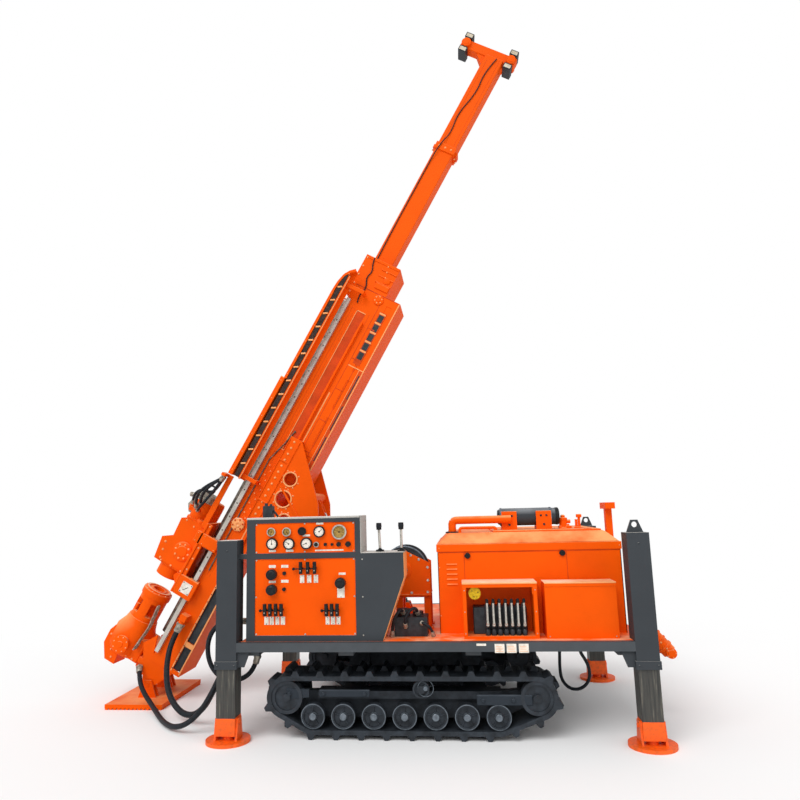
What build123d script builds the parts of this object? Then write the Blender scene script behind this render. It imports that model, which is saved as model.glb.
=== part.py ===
from build123d import *
import os
from math import asin, atan2, cos, degrees, hypot, pi, radians, sin, tan

# Crawler-mounted core drilling rig. Millimetres, X along the machine with the
# drilling end at -X, Y across it with the control side at -Y, Z up, floor at 0.

# Jacks: four square telescopic legs at the corners of the deck
front_jack_x = -943
jack_pitch_x = 3250
jack_pitch_y = 2050
jack_tube = 170
jack_wall = 8
jack_clear = 0.3
jack_leg_tube = jack_tube - 2 * (jack_wall + jack_clear)
jack_leg_top = 1010
jack_sleeve_top = 1560
jack_sleeve_bottom = 560
jack_collar = 184
jack_collar_height = 60
jack_shoe = 156
jack_shoe_height = 190
jack_pad_radius = 175
jack_pad_thickness = 26
jack_pin_z = 150
lug_eye_radius = 22
rear_jack_x = front_jack_x + jack_pitch_x
jack_y = jack_pitch_y / 2

# Deck between the jacks
deck_top = 760
deck_plate = 8
rail_height = 70
rail_width = 60
deck_front = front_jack_x + 100
deck_rear = rear_jack_x + 40
cross_beam = 100
deck_side = jack_y + jack_tube / 2

# Crawler undercarriage
track_outer_y = 970
track_width = 400
belt_thickness = 35
lug_height = 38
lug_pitch = 200
idler_x = front_jack_x + 459
sprocket_x = front_jack_x + 2436
roller_first_x = front_jack_x + 669
roller_count = 7
roller_pitch = 244.7
roller_radius = 98
idler_radius = 127
idler_z = 315
track_mid_y = track_outer_y - track_width / 2
roller_z = lug_height + belt_thickness + roller_radius
roller_last_x = roller_first_x + (roller_count - 1) * roller_pitch
shaft_radius = 30
web_half = 35
web_bottom = 130
disc_width = 62
disc_offset = 150
carrier_radius = 66

# Control cabinet on the near side of the deck
cabinet_x = front_jack_x + 147
cabinet_length = 946
cabinet_front_y = -1050
cabinet_depth = 340
cabinet_top = 1738
cabinet_mid = 1428
cabinet_post = 46
panel_thickness = 4
frame_skin = 5

# Side console beside the cabinet
console_top = 1440
console_length = 345
console_foot = 165
console_depth = 290
console_skin = 4

# Mast base frame: pivot behind the cabinet, mast leaning towards the rear
mast_angle = 60.5
mast_y = 280
mast_foot_x = front_jack_x - 1145
pivot_x = front_jack_x + 430
pivot_z = 1550
pivot_pin = 45
pin_clear = 0.05

# Mast section, in its own axes: s up the mast, n towards the drill side, w to the near side
beam_half = 220
beam_wall = 10
beam_front = 210
beam_back = -120
beam_bottom = 330
beam_top = 4700
box_back = -310
box_bottom = 2350
box_top = 4600
slide_flange = 30
slide_flange_n = -50
slide_flange_thick = 20
slide_flange_bottom = 1240
slide_flange_top = 4250
rail_n = 190
rail_size = 40
rail_bottom = 1000
rail_top = 4420
drill_axis_n = 555
slide_clear = 1.0

# Telescopic top of the mast
ext_size = 205
ext_n = 92
ext_wall = 8
ext_bottom = 3900
ext_top = 7560
head_bar_length = 720
head_bar_size = 105
lamp_size = 64
ext_clear = 0.3
crown_low = 240
crown_high = 230

# Drill head
head_s = 1010
head_height = 740
spindle_bore = 48
spindle_outer = 82

# Foot of the mast
foot_pin_s = 128
foot_pin_n = 114
foot_length = 560
foot_width = 960
foot_plate_thick = 34
foot_pin_radius = 22

# Engine hood
hood_front = front_jack_x + 1700
hood_rear = front_jack_x + 3200
hood_half = 730
hood_top = 1480
hood_lid = 1418
hood_roof = 1566
hood_wall = 6
lid_over = 8

# Hoses: bundle sizes and the ports they leave from
hose_a_size = 52
hose_b_size = 44
hose_c_size = 40
rear_hose_size = 26
head_hose_size = 26
hose_gland = 34
hose_a_y = -705
hose_b_y = -845
hose_port_z = 668
rear_port_a = (front_jack_x + 2800, -750)
rear_port_b = (front_jack_x + 2690, -505)

os.makedirs("parts", exist_ok=True)


def box(x0, x1, y0, y1, z0, z1):
    return Pos((x0 + x1) / 2, (y0 + y1) / 2, (z0 + z1) / 2) * Box(x1 - x0, y1 - y0, z1 - z0)


def rod(start, end, radius):
    axis = Vector(*end) - Vector(*start)
    plane = Plane(origin=start, z_dir=axis)
    return plane.location * Cylinder(radius, axis.length, align=(Align.CENTER, Align.CENTER, Align.MIN))


def tube(start, end, radius, bore):
    axis = (Vector(*end) - Vector(*start)).normalized()
    over = axis * 1.0
    inner_start = Vector(*start) - over
    inner_end = Vector(*end) + over
    return rod(start, end, radius) - rod(tuple(inner_start), tuple(inner_end), bore)


def slab(points, axis, low, high):
    """Prism of a side profile: axis "y" takes (x, z) points, "x" takes (y, z), "z" takes (x, y)."""
    if axis == "y":
        plane = Plane(origin=(0, low, 0), x_dir=(1, 0, 0), z_dir=(0, -1, 0))
        return extrude(plane * make_face(Polyline(*points, close=True)), -(high - low))
    if axis == "x":
        plane = Plane(origin=(low, 0, 0), x_dir=(0, 1, 0), z_dir=(1, 0, 0))
        return extrude(plane * make_face(Polyline(*points, close=True)), high - low)
    plane = Plane(origin=(0, 0, low))
    return extrude(plane * make_face(Polyline(*points, close=True)), high - low)


nodes = {}


def add(name, *shapes):
    solids = []
    for shape in shapes:
        solids.extend(shape.solids())
    nodes[name] = Compound(children=solids) if len(solids) > 1 else solids[0]


# Mast axes: x runs up the mast, y to the drill side, z to the near side
mast_plane = Plane(
    origin=(mast_foot_x, mast_y, 0),
    x_dir=(cos(radians(mast_angle)), 0, sin(radians(mast_angle))),
    z_dir=(0, -1, 0),
)
mast = mast_plane.location


def to_mast(x, z):
    dx = x - mast_foot_x
    return (
        dx * cos(radians(mast_angle)) + z * sin(radians(mast_angle)),
        -dx * sin(radians(mast_angle)) + z * cos(radians(mast_angle)),
    )


def from_mast(s, n):
    return (
        mast_foot_x + s * cos(radians(mast_angle)) - n * sin(radians(mast_angle)),
        s * sin(radians(mast_angle)) + n * cos(radians(mast_angle)),
    )


pivot_s, pivot_n = to_mast(pivot_x, pivot_z)


# Belt outline as circles joined by their outer tangents, counterclockwise from above
def belt_segments(offset):
    circles = [
        (roller_first_x, roller_z, roller_radius + offset),
        (roller_last_x, roller_z, roller_radius + offset),
        (sprocket_x, idler_z, idler_radius + offset),
        (idler_x, idler_z, idler_radius + offset),
    ]
    normals = []
    for i, (x0, z0, r0) in enumerate(circles):
        x1, z1, r1 = circles[(i + 1) % len(circles)]
        length = hypot(x1 - x0, z1 - z0)
        heading = atan2(z1 - z0, x1 - x0)
        spread = asin((r0 - r1) / length)
        normals.append(heading - pi / 2 + spread)
    segments = []
    for i, (x, z, r) in enumerate(circles):
        start = normals[i - 1]
        sweep = (normals[i] - start) % (2 * pi)
        segments.append(("arc", x, z, r, start, sweep))
        x1, z1, r1 = circles[(i + 1) % len(circles)]
        a = (x + r * cos(normals[i]), z + r * sin(normals[i]))
        b = (x1 + r1 * cos(normals[i]), z1 + r1 * sin(normals[i]))
        segments.append(("line", a, b, normals[i]))
    return segments


def belt_face(offset):
    edges = []
    for segment in belt_segments(offset):
        if segment[0] == "arc":
            _, x, z, r, start, sweep = segment
            points = [(x + r * cos(start + k * sweep / 2), z + r * sin(start + k * sweep / 2)) for k in range(3)]
            edges.append(ThreePointArc(*points))
        else:
            edges.append(Line(segment[1], segment[2]))
    return make_face(edges)


def belt_point(distance, offset):
    for segment in belt_segments(offset):
        if segment[0] == "arc":
            _, x, z, r, start, sweep = segment
            length = r * sweep
            if distance <= length:
                angle = start + distance / r
                return x + r * cos(angle), z + r * sin(angle), angle
        else:
            (x0, z0), (x1, z1), angle = segment[1:]
            length = hypot(x1 - x0, z1 - z0)
            if distance <= length:
                share = distance / length
                return x0 + (x1 - x0) * share, z0 + (z1 - z0) * share, angle
        distance -= length
    return None


def belt_length(offset):
    total = 0
    for segment in belt_segments(offset):
        if segment[0] == "arc":
            total += segment[3] * segment[5]
        else:
            total += hypot(segment[2][0] - segment[1][0], segment[2][1] - segment[1][1])
    return total


lug_foot = 74
lug_tip = 30
lug_root = 6


def lug_faces(shift):
    total = belt_length(belt_thickness)
    count = round(total / lug_pitch)
    faces = []
    for i in range(count):
        x, z, angle = belt_point((i + shift) * total / count, belt_thickness)
        profile = [
            (-lug_root, -lug_foot / 2), (lug_height, -lug_tip / 2),
            (lug_height, lug_tip / 2), (-lug_root, lug_foot / 2),
        ]
        outline = make_face(Polyline(*profile, close=True))
        faces.append(Pos(x, z) * Rot(0, 0, degrees(angle)) * outline)
    return faces


def side_extrude(face, low, high):
    plane = Plane(origin=(0, low, 0), x_dir=(1, 0, 0), z_dir=(0, -1, 0))
    return extrude(plane * face, -(high - low))


def make_track(side):
    inner = track_outer_y - track_width
    ring = belt_face(belt_thickness) - belt_face(0)
    low, high = sorted((side * inner, side * track_outer_y))
    half = (low + high) / 2
    belt = side_extrude(ring, low, high)
    lugs = []
    for shift, y0, y1 in ((0.25, low, half + 20), (0.75, half - 20, high)):
        for face in lug_faces(shift):
            lugs.append(side_extrude(face, y0, y1))
    floor_cut = box(idler_x, sprocket_x, low - 10, high + 10, -50, 0)
    return belt.fuse(*lugs) - floor_cut


near, far = -1, 1
sides = (near, far)
add("track_near", make_track(near))
add("track_far", make_track(far))

# Rollers: pairs of discs with stub shafts that butt on the frame's web
roller_table = []  # x, z, disc radius
for i in range(roller_count):
    roller_table.append((roller_first_x + i * roller_pitch, roller_z, roller_radius - 0.3))
end_table = [(idler_x, idler_z, idler_radius - 0.3), (sprocket_x, idler_z, idler_radius - 0.3)]
carrier_x = front_jack_x + 1538
carrier_z = idler_z + idler_radius - carrier_radius - 0.3


def wheel_pair(x, z, radius, side, width):
    pieces = []
    for step in (-1, 1):
        y_web = side * track_mid_y + step * web_half
        y_in = side * track_mid_y + step * (disc_offset - width / 2)
        y_out = side * track_mid_y + step * (disc_offset + width / 2)
        disc = rod((x, y_in, z), (x, y_out, z), radius)
        rim = rod((x, y_out - step * 14, z), (x, y_out + step, z), radius * 0.78)
        stub = rod((x, y_web, z), (x, y_out + step * 12, z), shaft_radius)
        pieces.append((disc - rim) + stub)
    return pieces


wheels = []
for side in sides:
    for x, z, radius in roller_table:
        wheels += wheel_pair(x, z, radius, side, disc_width)
    wheels += wheel_pair(carrier_x, carrier_z, carrier_radius, side, disc_width)
    for x, z, radius in end_table:
        wheels += wheel_pair(x, z, radius, side, disc_width + 20)
add("track_wheels", *wheels)

# Track frames: a web under a box beam, with arms to both end wheels
beam_x0 = front_jack_x + 690
beam_x1 = front_jack_x + 2170
frame_beam_top = 340
frame_beam_bottom = roller_z + roller_radius + 12
frame_half = 84
frames = []
for side in sides:
    mid = side * track_mid_y
    web = slab(
        [
            (idler_x - 60, idler_z - 45), (roller_first_x - 20, web_bottom), (roller_last_x + 20, web_bottom),
            (sprocket_x + 60, idler_z - 45), (sprocket_x + 60, idler_z + 45), (beam_x1 + 60, frame_beam_top - 6),
            (beam_x0 - 60, frame_beam_top - 6), (idler_x - 60, idler_z + 45),
        ],
        "y", mid - web_half, mid + web_half,
    )
    beam = box(beam_x0, beam_x1, mid - frame_half, mid + frame_half, frame_beam_bottom, frame_beam_top)
    saddle = box(carrier_x - 50, carrier_x + 50, mid - web_half, mid + web_half, frame_beam_top - 4, carrier_z + 34)
    frames.append(web + beam + saddle)
add("track_frames", *frames)

# Car frame between the tracks, carrying the deck
cross_xs = (front_jack_x + 960, front_jack_x + 1960)
cross_half_x = 90
car_inner = track_mid_y - frame_half
car = None
for x in cross_xs:
    beam = box(x - cross_half_x, x + cross_half_x, -car_inner, car_inner, frame_beam_bottom + 6, frame_beam_top - 4)
    post = box(x - cross_half_x, x + cross_half_x, -330, 330, frame_beam_top - 10, deck_top - cross_beam - deck_plate)
    car = beam + post if car is None else car + beam + post
car += box(cross_xs[0], cross_xs[1], -260, 260, frame_beam_bottom + 20, deck_top - cross_beam - deck_plate - 30)
add("car_frame", car)

# Deck: side rails, cross beams and plate
rails = []
rail_x0 = front_jack_x + jack_tube / 2
rail_x1 = rear_jack_x - jack_tube / 2
beam_low = deck_top - deck_plate - cross_beam
deck = box(deck_front, deck_rear, -(deck_side - rail_width), deck_side - rail_width, deck_top - deck_plate, deck_top)
for side in sides:
    y0, y1 = sorted((side * deck_side, side * (deck_side - rail_width)))
    deck += box(rail_x0, rail_x1, y0, y1, deck_top - rail_height, deck_top)
for x in (rail_x0 + 110, cross_xs[0], cross_xs[1], rail_x1 - 60):
    deck += box(x - 60, x + 60, -(deck_side - rail_width), deck_side - rail_width, beam_low, deck_top - deck_plate)
for y in (-430, 430):
    deck += box(rail_x0 + 110, rail_x1 - 60, y - 40, y + 40, beam_low, deck_top - deck_plate)
for side in sides:
    y0, y1 = sorted((side * (jack_y - jack_tube / 2), side * (deck_side - rail_width)))
    deck -= box(rail_x1, deck_rear + 1, y0, y1, beam_low - 1, deck_top + 1)
add("deck_frame", deck)

# Jack sleeves with their gussets under the rails and lifting lugs on the rear ones
sleeves = []
inner = jack_tube - 2 * jack_wall
for x, gusset in ((front_jack_x, 1), (rear_jack_x, -1)):
    for side in sides:
        y = side * jack_y
        sleeve = box(x - jack_tube / 2, x + jack_tube / 2, y - jack_tube / 2, y + jack_tube / 2,
                     jack_sleeve_bottom, jack_sleeve_top)
        sleeve += box(x - jack_collar / 2, x + jack_collar / 2, y - jack_collar / 2, y + jack_collar / 2,
                      jack_sleeve_bottom, jack_sleeve_bottom + jack_collar_height)
        sleeve -= box(x - inner / 2, x + inner / 2, y - inner / 2, y + inner / 2,
                      jack_sleeve_bottom - 1, jack_sleeve_top - jack_wall)
        edge = x + gusset * jack_tube / 2
        rail_low = deck_top - rail_height
        points = [(edge, rail_low), (edge + gusset * 105, rail_low), (edge + gusset * 60, rail_low - 118),
                  (edge, rail_low - 118)]
        y0, y1 = sorted((side * (deck_side - 22), side * (deck_side - 36)))
        sleeve += slab(points, "y", y0, y1)
        if gusset < 0:
            lug = slab([(x - 64, jack_sleeve_top), (x + 64, jack_sleeve_top), (x + 26, jack_sleeve_top + 96),
                        (x - 26, jack_sleeve_top + 96)], "y", y - 10, y + 10)
            lug -= rod((x, y - 20, jack_sleeve_top + 60), (x, y + 20, jack_sleeve_top + 60), lug_eye_radius)
            sleeve += lug
        sleeves.append(sleeve)
add("jack_sleeves", *sleeves)

# Jack legs and their feet: a shoe on the tube's end, two cheek plates and a round pad
for end, x in (("front", front_jack_x), ("rear", rear_jack_x)):
    for name, side in (("near", near), ("far", far)):
        y = side * jack_y
        half = jack_leg_tube / 2
        leg = box(x - half, x + half, y - half, y + half, jack_shoe_height, jack_leg_top)
        leg -= box(x - half + jack_wall, x + half - jack_wall, y - half + jack_wall, y + half - jack_wall,
                   jack_shoe_height, jack_leg_top + 1)
        shoe = box(x - jack_shoe / 2, x + jack_shoe / 2, y - jack_shoe / 2, y + jack_shoe / 2,
                   jack_pad_thickness + 34, jack_shoe_height)
        shoe += rod((x, y, 0), (x, y, jack_pad_thickness), jack_pad_radius)
        shoe += rod((x, y, jack_pad_thickness), (x, y, jack_pad_thickness + 40), 45)
        for step in (-1, 1):
            cheek_x = x + step * (jack_shoe / 2 + 8)
            cheek = slab(
                [(y - 75, jack_pad_thickness), (y + 75, jack_pad_thickness), (y + 40, jack_pin_z + 35),
                 (y - 40, jack_pin_z + 35)], "x", cheek_x - 8, cheek_x + 8)
            shoe += cheek
        shoe += rod((x - jack_shoe / 2 - 24, y, jack_pin_z), (x + jack_shoe / 2 + 24, y, jack_pin_z), 16)
        add(f"jack_leg_{end}_{name}", leg + shoe)

# Control cabinet: a welded frame with skinned sides, top and back, and two orange panels
cab_x1 = cabinet_x + cabinet_length
cab_y1 = cabinet_front_y + cabinet_depth
shell = box(cabinet_x, cab_x1, cabinet_front_y, cab_y1, deck_top, cabinet_top)
shell -= box(cabinet_x + frame_skin, cab_x1 - frame_skin, cabinet_front_y + cabinet_post, cab_y1 - frame_skin,
             deck_top + frame_skin, cabinet_top - frame_skin)
opening_x0 = cabinet_x + cabinet_post + 24
opening_x1 = cab_x1 - cabinet_post
lower_z0 = deck_top + cabinet_post
lower_z1 = cabinet_mid - cabinet_post / 2
upper_z0 = cabinet_mid + cabinet_post / 2
upper_z1 = cabinet_top - cabinet_post
for z0, z1 in ((lower_z0, lower_z1), (upper_z0, upper_z1)):
    shell -= box(opening_x0, opening_x1, cabinet_front_y - 1, cabinet_front_y + cabinet_post + 1, z0, z1)
shell += box(cabinet_x - 62, cabinet_x, cabinet_front_y, cabinet_front_y + 40, cabinet_mid - 20, cabinet_mid + 20)
add("control_cabinet", shell)
panel_y = cabinet_front_y + 8
panels = []
for z0, z1 in ((lower_z0, lower_z1), (upper_z0, upper_z1)):
    panels.append(box(opening_x0, opening_x1, panel_y, panel_y + panel_thickness, z0, z1))
add("control_panels", *panels)

# Instruments: x from the panel's left edge, z, face radius, depth
gauge_table = [
    (355, 1622, 34, 22), (484, 1621, 34, 22), (612, 1624, 34, 22), (756, 1618, 47, 26), (922, 1612, 58, 30),
    (361, 1527, 47, 26), (503, 1525, 47, 26), (648, 1526, 47, 26),
]
gauges = []
for x, z, radius, depth in gauge_table:
    center = front_jack_x + x
    body = rod((center, panel_y, z), (center, panel_y - depth, z), radius)
    body -= rod((center, panel_y - depth + 6, z), (center, panel_y - depth - 1, z), radius * 0.8)
    gauges.append(body)
knob_table = [
    (733, 1516, 20, 34), (805, 1515, 13, 20), (860, 1514, 11, 20), (915, 1514, 18, 26), (992, 1514, 22, 24),
    (361, 1283, 42, 46), (361, 1163, 42, 46), (926, 1210, 42, 46), (462, 1291, 15, 14), (460, 1165, 15, 14),
]
for x, z, radius, depth in knob_table:
    center = front_jack_x + x
    gauges.append(rod((center, panel_y, z), (center, panel_y - depth, z), radius))
add("instruments", *gauges)
# Lever groups: x, z of the pivot, lever length
panel_lever_table = [(609, 1330), (667, 1330), (723, 1330), (314, 1006), (357, 1006), (404, 1006), (449, 1006),
                     (815, 1002), (859, 1002), (903, 1002)]
levers = []
for x, z in panel_lever_table:
    center = front_jack_x + x
    stem = rod((center, panel_y, z), (center, panel_y - 60, z), 9)
    grip = rod((center, panel_y - 52, z - 42), (center, panel_y - 58, z + 52), 15)
    levers.append(stem + grip)
add("panel_levers", *levers)

# Side console with its sloping foot and two joysticks
con_x0 = cab_x1
con_x1 = con_x0 + console_length
profile = [(con_x0, deck_top), (con_x0 + console_foot, deck_top), (con_x1, console_top - 190),
           (con_x1, console_top), (con_x0, console_top)]
con_y0 = cabinet_front_y
console = slab(profile, "y", con_y0, con_y0 + console_depth)
inner_profile = [(con_x0 + console_skin, deck_top + console_skin),
                 (con_x0 + console_foot - console_skin - 2, deck_top + console_skin),
                 (con_x1 - console_skin, console_top - 188), (con_x1 - console_skin, console_top - console_skin),
                 (con_x0 + console_skin, console_top - console_skin)]
console -= slab(inner_profile, "y", con_y0 + console_skin, con_y0 + console_depth - console_skin)
add("side_console", console)
sticks = []
stick_y = con_y0 + 120
for x, lean in ((con_x0 + 145, -6), (con_x0 + 322, 0)):
    stick = rod((x, stick_y, console_top), (x, stick_y, console_top + 18), 34)
    stick += rod((x, stick_y, console_top + 10), (x + lean, stick_y, console_top + 190), 9)
    stick += rod((x + lean, stick_y, console_top + 180), (x + lean, stick_y, console_top + 235), 21)
    sticks.append(stick)
add("joysticks", *sticks)

# Winch behind the console: side plates on a stand, a drum between them
winch_x = front_jack_x + 1395
winch_z = 1255
winch_y = -330
winch_half = 150
plate_thick = 12
drum_flange = 205
drum_shaft = 30
plates = []
for step in (-1, 1):
    y = winch_y + step * winch_half
    plate = slab(
        [(winch_x - 160, winch_z - 215), (winch_x + 205, winch_z - 215), (winch_x + 205, winch_z + 60),
         (winch_x + 20, winch_z + 150), (winch_x - 160, winch_z + 150)],
        "y", y - plate_thick / 2, y + plate_thick / 2)
    plate -= rod((winch_x, y - 20, winch_z), (winch_x, y + 20, winch_z), drum_shaft + pin_clear)
    plates.append(plate)
stand = plates[0] + plates[1]
bridge_y0 = winch_y - winch_half - plate_thick / 2
bridge_y1 = winch_y + winch_half + plate_thick / 2
stand += box(winch_x - 160, winch_x + 205, bridge_y0, bridge_y1, winch_z - 230, winch_z - 215)
for x in (winch_x - 150, winch_x + 175):
    for y in (bridge_y0 + 40, bridge_y1 - 40):
        stand += box(x - 30, x + 30, y - 30, y + 30, deck_top, winch_z - 230)
add("winch_stand", stand)
drum_y0 = winch_y - winch_half + plate_thick / 2 + 6
drum_y1 = winch_y + winch_half - plate_thick / 2 - 6
drum = rod((winch_x, drum_y0, winch_z), (winch_x, drum_y1, winch_z), 110)
for y0, y1 in ((drum_y0, drum_y0 + 10), (drum_y1 - 10, drum_y1)):
    drum += rod((winch_x, y0, winch_z), (winch_x, y1, winch_z), drum_flange)
drum += rod((winch_x, bridge_y0 - 8, winch_z), (winch_x, bridge_y1 + 8, winch_z), drum_shaft)
add("winch_drum", drum)

# Hydraulic pump block on the deck in front of the winch
pump_x0 = front_jack_x + 1332
pump = box(pump_x0, pump_x0 + 270, -860, -640, deck_top, deck_top + 150)
pump += rod((pump_x0 + 70, -750, deck_top + 150), (pump_x0 + 70, -750, deck_top + 205), 55)
pump += rod((pump_x0 + 190, -750, deck_top + 150), (pump_x0 + 190, -750, deck_top + 185), 45)
add("pump_block", pump)

# Engine hood: a folded shell with a raised roof behind its front lid, engine inside
hood = box(hood_front, hood_rear, -hood_half, hood_half, deck_top, hood_top)
ridge = slab([(-hood_half, hood_top), (-hood_half + 150, hood_roof), (hood_half - 150, hood_roof),
              (hood_half, hood_top)], "x", hood_front, hood_rear)
hood += ridge
hood += box(hood_front - lid_over, hood_rear + lid_over, -hood_half - lid_over, hood_half + lid_over,
            hood_lid, hood_top)
hollow = box(hood_front + hood_wall, hood_rear - hood_wall, -hood_half + hood_wall, hood_half - hood_wall,
             deck_top - 1, hood_top)
hollow += slab([(-hood_half + hood_wall, hood_top - 2), (-hood_half + 152, hood_roof - hood_wall),
                (hood_half - 152, hood_roof - hood_wall), (hood_half - hood_wall, hood_top - 2)],
               "x", hood_front + hood_wall, hood_rear - hood_wall)
hood -= hollow
add("engine_hood", hood)
add("engine_block", box(hood_front + 330, hood_front + 1180, -300, 300, deck_top, deck_top + 560))

# Air cleaner, exhaust and roof fittings on the near half of the hood, clear of the laid-down mast
roof_y = -330
fit_z = hood_roof
air_x0 = front_jack_x + 2245
air_x1 = front_jack_x + 2750
air_z = 1690
air = rod((air_x0, roof_y, air_z), (air_x1, roof_y, air_z), 78)
add("air_cleaner", air)
fittings = []
for x in (air_x0 + 90, air_x0 + 390):
    band = tube((x - 40, roof_y, air_z), (x + 40, roof_y, air_z), 92, 78.3)
    foot = box(x - 40, x + 40, roof_y - 60, roof_y + 60, fit_z, air_z - 84)
    foot -= rod((x - 50, roof_y, air_z), (x + 50, roof_y, air_z), 85)
    fittings.append(band + foot)
for x in (air_x1 + 50, air_x1 + 190):
    fittings.append(box(x, x + 60, roof_y - 40, roof_y + 40, fit_z, fit_z + 110))
exhaust_x = hood_front + 140
ex_z = 1665
route = FilletPolyline((exhaust_x, roof_y, fit_z), (exhaust_x, roof_y, ex_z), (air_x0 - 20, roof_y, ex_z), radius=60)
section = Plane(origin=route @ 0, z_dir=route % 0) * Circle(30)
fittings.append(sweep(section, path=route))
add("roof_fittings", *fittings)

# Mast rest at the rear of the deck
rest_x = front_jack_x + 3330
rest = box(rest_x - 30, rest_x + 30, mast_y - 40, mast_y + 40, deck_top, 1740)
rest += box(rest_x - 45, rest_x + 45, mast_y - 130, mast_y + 130, 1740, 1800)
rest += box(rest_x - 90, rest_x + 60, mast_y - 90, mast_y + 90, deck_top, deck_top + 14)

# Valve box with an open front, and the valve bank with its levers
vb_x0 = front_jack_x + 1895
vb_x1 = front_jack_x + 2480
vb_front = -980
vb_back = -hood_half
vb_top = 1185
skin = 6
vbox = box(vb_x0, vb_x1, vb_front, vb_back, deck_top, vb_top)
vbox -= box(vb_x0 + 30, vb_x1 - 30, vb_front - 1, vb_back - skin, deck_top + 20, vb_top - 34)
add("valve_box", vbox)
bank = box(vb_x0 + 70, vb_x1 - 80, vb_front + 70, vb_back - skin, deck_top + 20, deck_top + 250)
add("valve_bank", bank)
valve_levers = []
for i in range(7):
    x = vb_x0 + 190 + i * 48
    lever = rod((x, vb_front + 70, deck_top + 150), (x, vb_front + 12, deck_top + 150), 9)
    lever += rod((x, vb_front + 14, deck_top + 60), (x, vb_front + 14, deck_top + 290), 11)
    valve_levers.append(lever)
add("valve_levers", *valve_levers)

# Toolbox with a hinged lid
tb_x0 = front_jack_x + 2538
tb_x1 = front_jack_x + 3085
tb_top = 1181
lid_thick = 30
hinge_radius = 8
hinge_pin = 4
hinge_y = -752
hinge_z = tb_top - lid_thick + hinge_radius
lid_back = -770
tbox = box(tb_x0, tb_x1, vb_front, vb_back, deck_top, tb_top - lid_thick)
tbox -= box(tb_x0 + 4, tb_x1 - 4, vb_front + 4, vb_back - 4, deck_top + 4, tb_top - lid_thick + 1)
tbox += box(tb_x0, tb_x1, lid_back + 4, vb_back, tb_top - lid_thick - 4, tb_top - lid_thick)
tbox += rod((tb_x0, hinge_y, hinge_z), (tb_x1, hinge_y, hinge_z), hinge_pin)
for x0, x1 in ((tb_x0, tb_x0 + 60), (tb_x1 - 60, tb_x1)):
    tbox += rod((x0, hinge_y, hinge_z), (x1, hinge_y, hinge_z), hinge_radius)
    tbox += box(x0, x1, hinge_y - hinge_radius, hinge_y + hinge_radius, tb_top - lid_thick - 1, hinge_z)
add("toolbox", tbox)
lid_gap = 1.0
lid = box(tb_x0, tb_x1, vb_front - 4, lid_back, tb_top - lid_thick + lid_gap, tb_top)
lid -= box(tb_x0 + 4, tb_x1 - 4, vb_front, lid_back - 4, tb_top - lid_thick, tb_top - 4)
lid += box(tb_x0 + 62, tb_x1 - 62, lid_back - 1, hinge_y, hinge_z - 1, hinge_z + 3)
lid += rod((tb_x0 + 62, hinge_y, hinge_z), (tb_x1 - 62, hinge_y, hinge_z), hinge_radius - 1)
lid -= rod((tb_x0 + 61, hinge_y, hinge_z), (tb_x1 - 61, hinge_y, hinge_z), hinge_pin + 0.05)
add("toolbox_lid", lid)

# Rod tongs hung on a hook at the rear
tong_y = -420
tong_a = (rear_jack_x + 172, 742)
tong_b = (rear_jack_x + 345, 550)
hook = box(deck_rear, rear_jack_x + 90, tong_y - 30, tong_y + 30, deck_top - 50, deck_top)
hook += box(rear_jack_x + 70, rear_jack_x + 90, tong_y - 30, tong_y + 30, deck_top - 1, deck_top + 60)
tongs = rod((tong_a[0], tong_y, tong_a[1]), (tong_b[0], tong_y, tong_b[1]), 58)
tongs += rod((tong_b[0], tong_y - 60, tong_b[1]), (tong_b[0], tong_y + 60, tong_b[1]), 44)
tongs += rod((rear_jack_x + 80, tong_y, deck_top + 40), (tong_a[0] + 12, tong_y, tong_a[1] - 12), 20)
add("rod_tongs", hook + tongs)

# Pedestal: two plates on the deck carrying the pivot pins of the cradle
ped_in = 345
ped_thick = 30
pedestal = []
for step in (-1, 1):
    y0, y1 = sorted((mast_y + step * ped_in, mast_y + step * (ped_in + ped_thick)))
    plate = slab([(pivot_x - 190, deck_top), (pivot_x + 330, deck_top), (pivot_x + 75, pivot_z + 60),
                  (pivot_x - 75, pivot_z + 60)], "y", y0, y1)
    stub_in = mast_y + step * (ped_in - 40)
    plate += rod((pivot_x, stub_in, pivot_z), (pivot_x, mast_y + step * (ped_in + 10), pivot_z), pivot_pin)
    pedestal.append(plate)
pedestal = pedestal[0] + pedestal[1] + box(pivot_x - 190, pivot_x + 330, mast_y - ped_in, mast_y + ped_in,
                                           deck_top, deck_top + 20)

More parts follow.
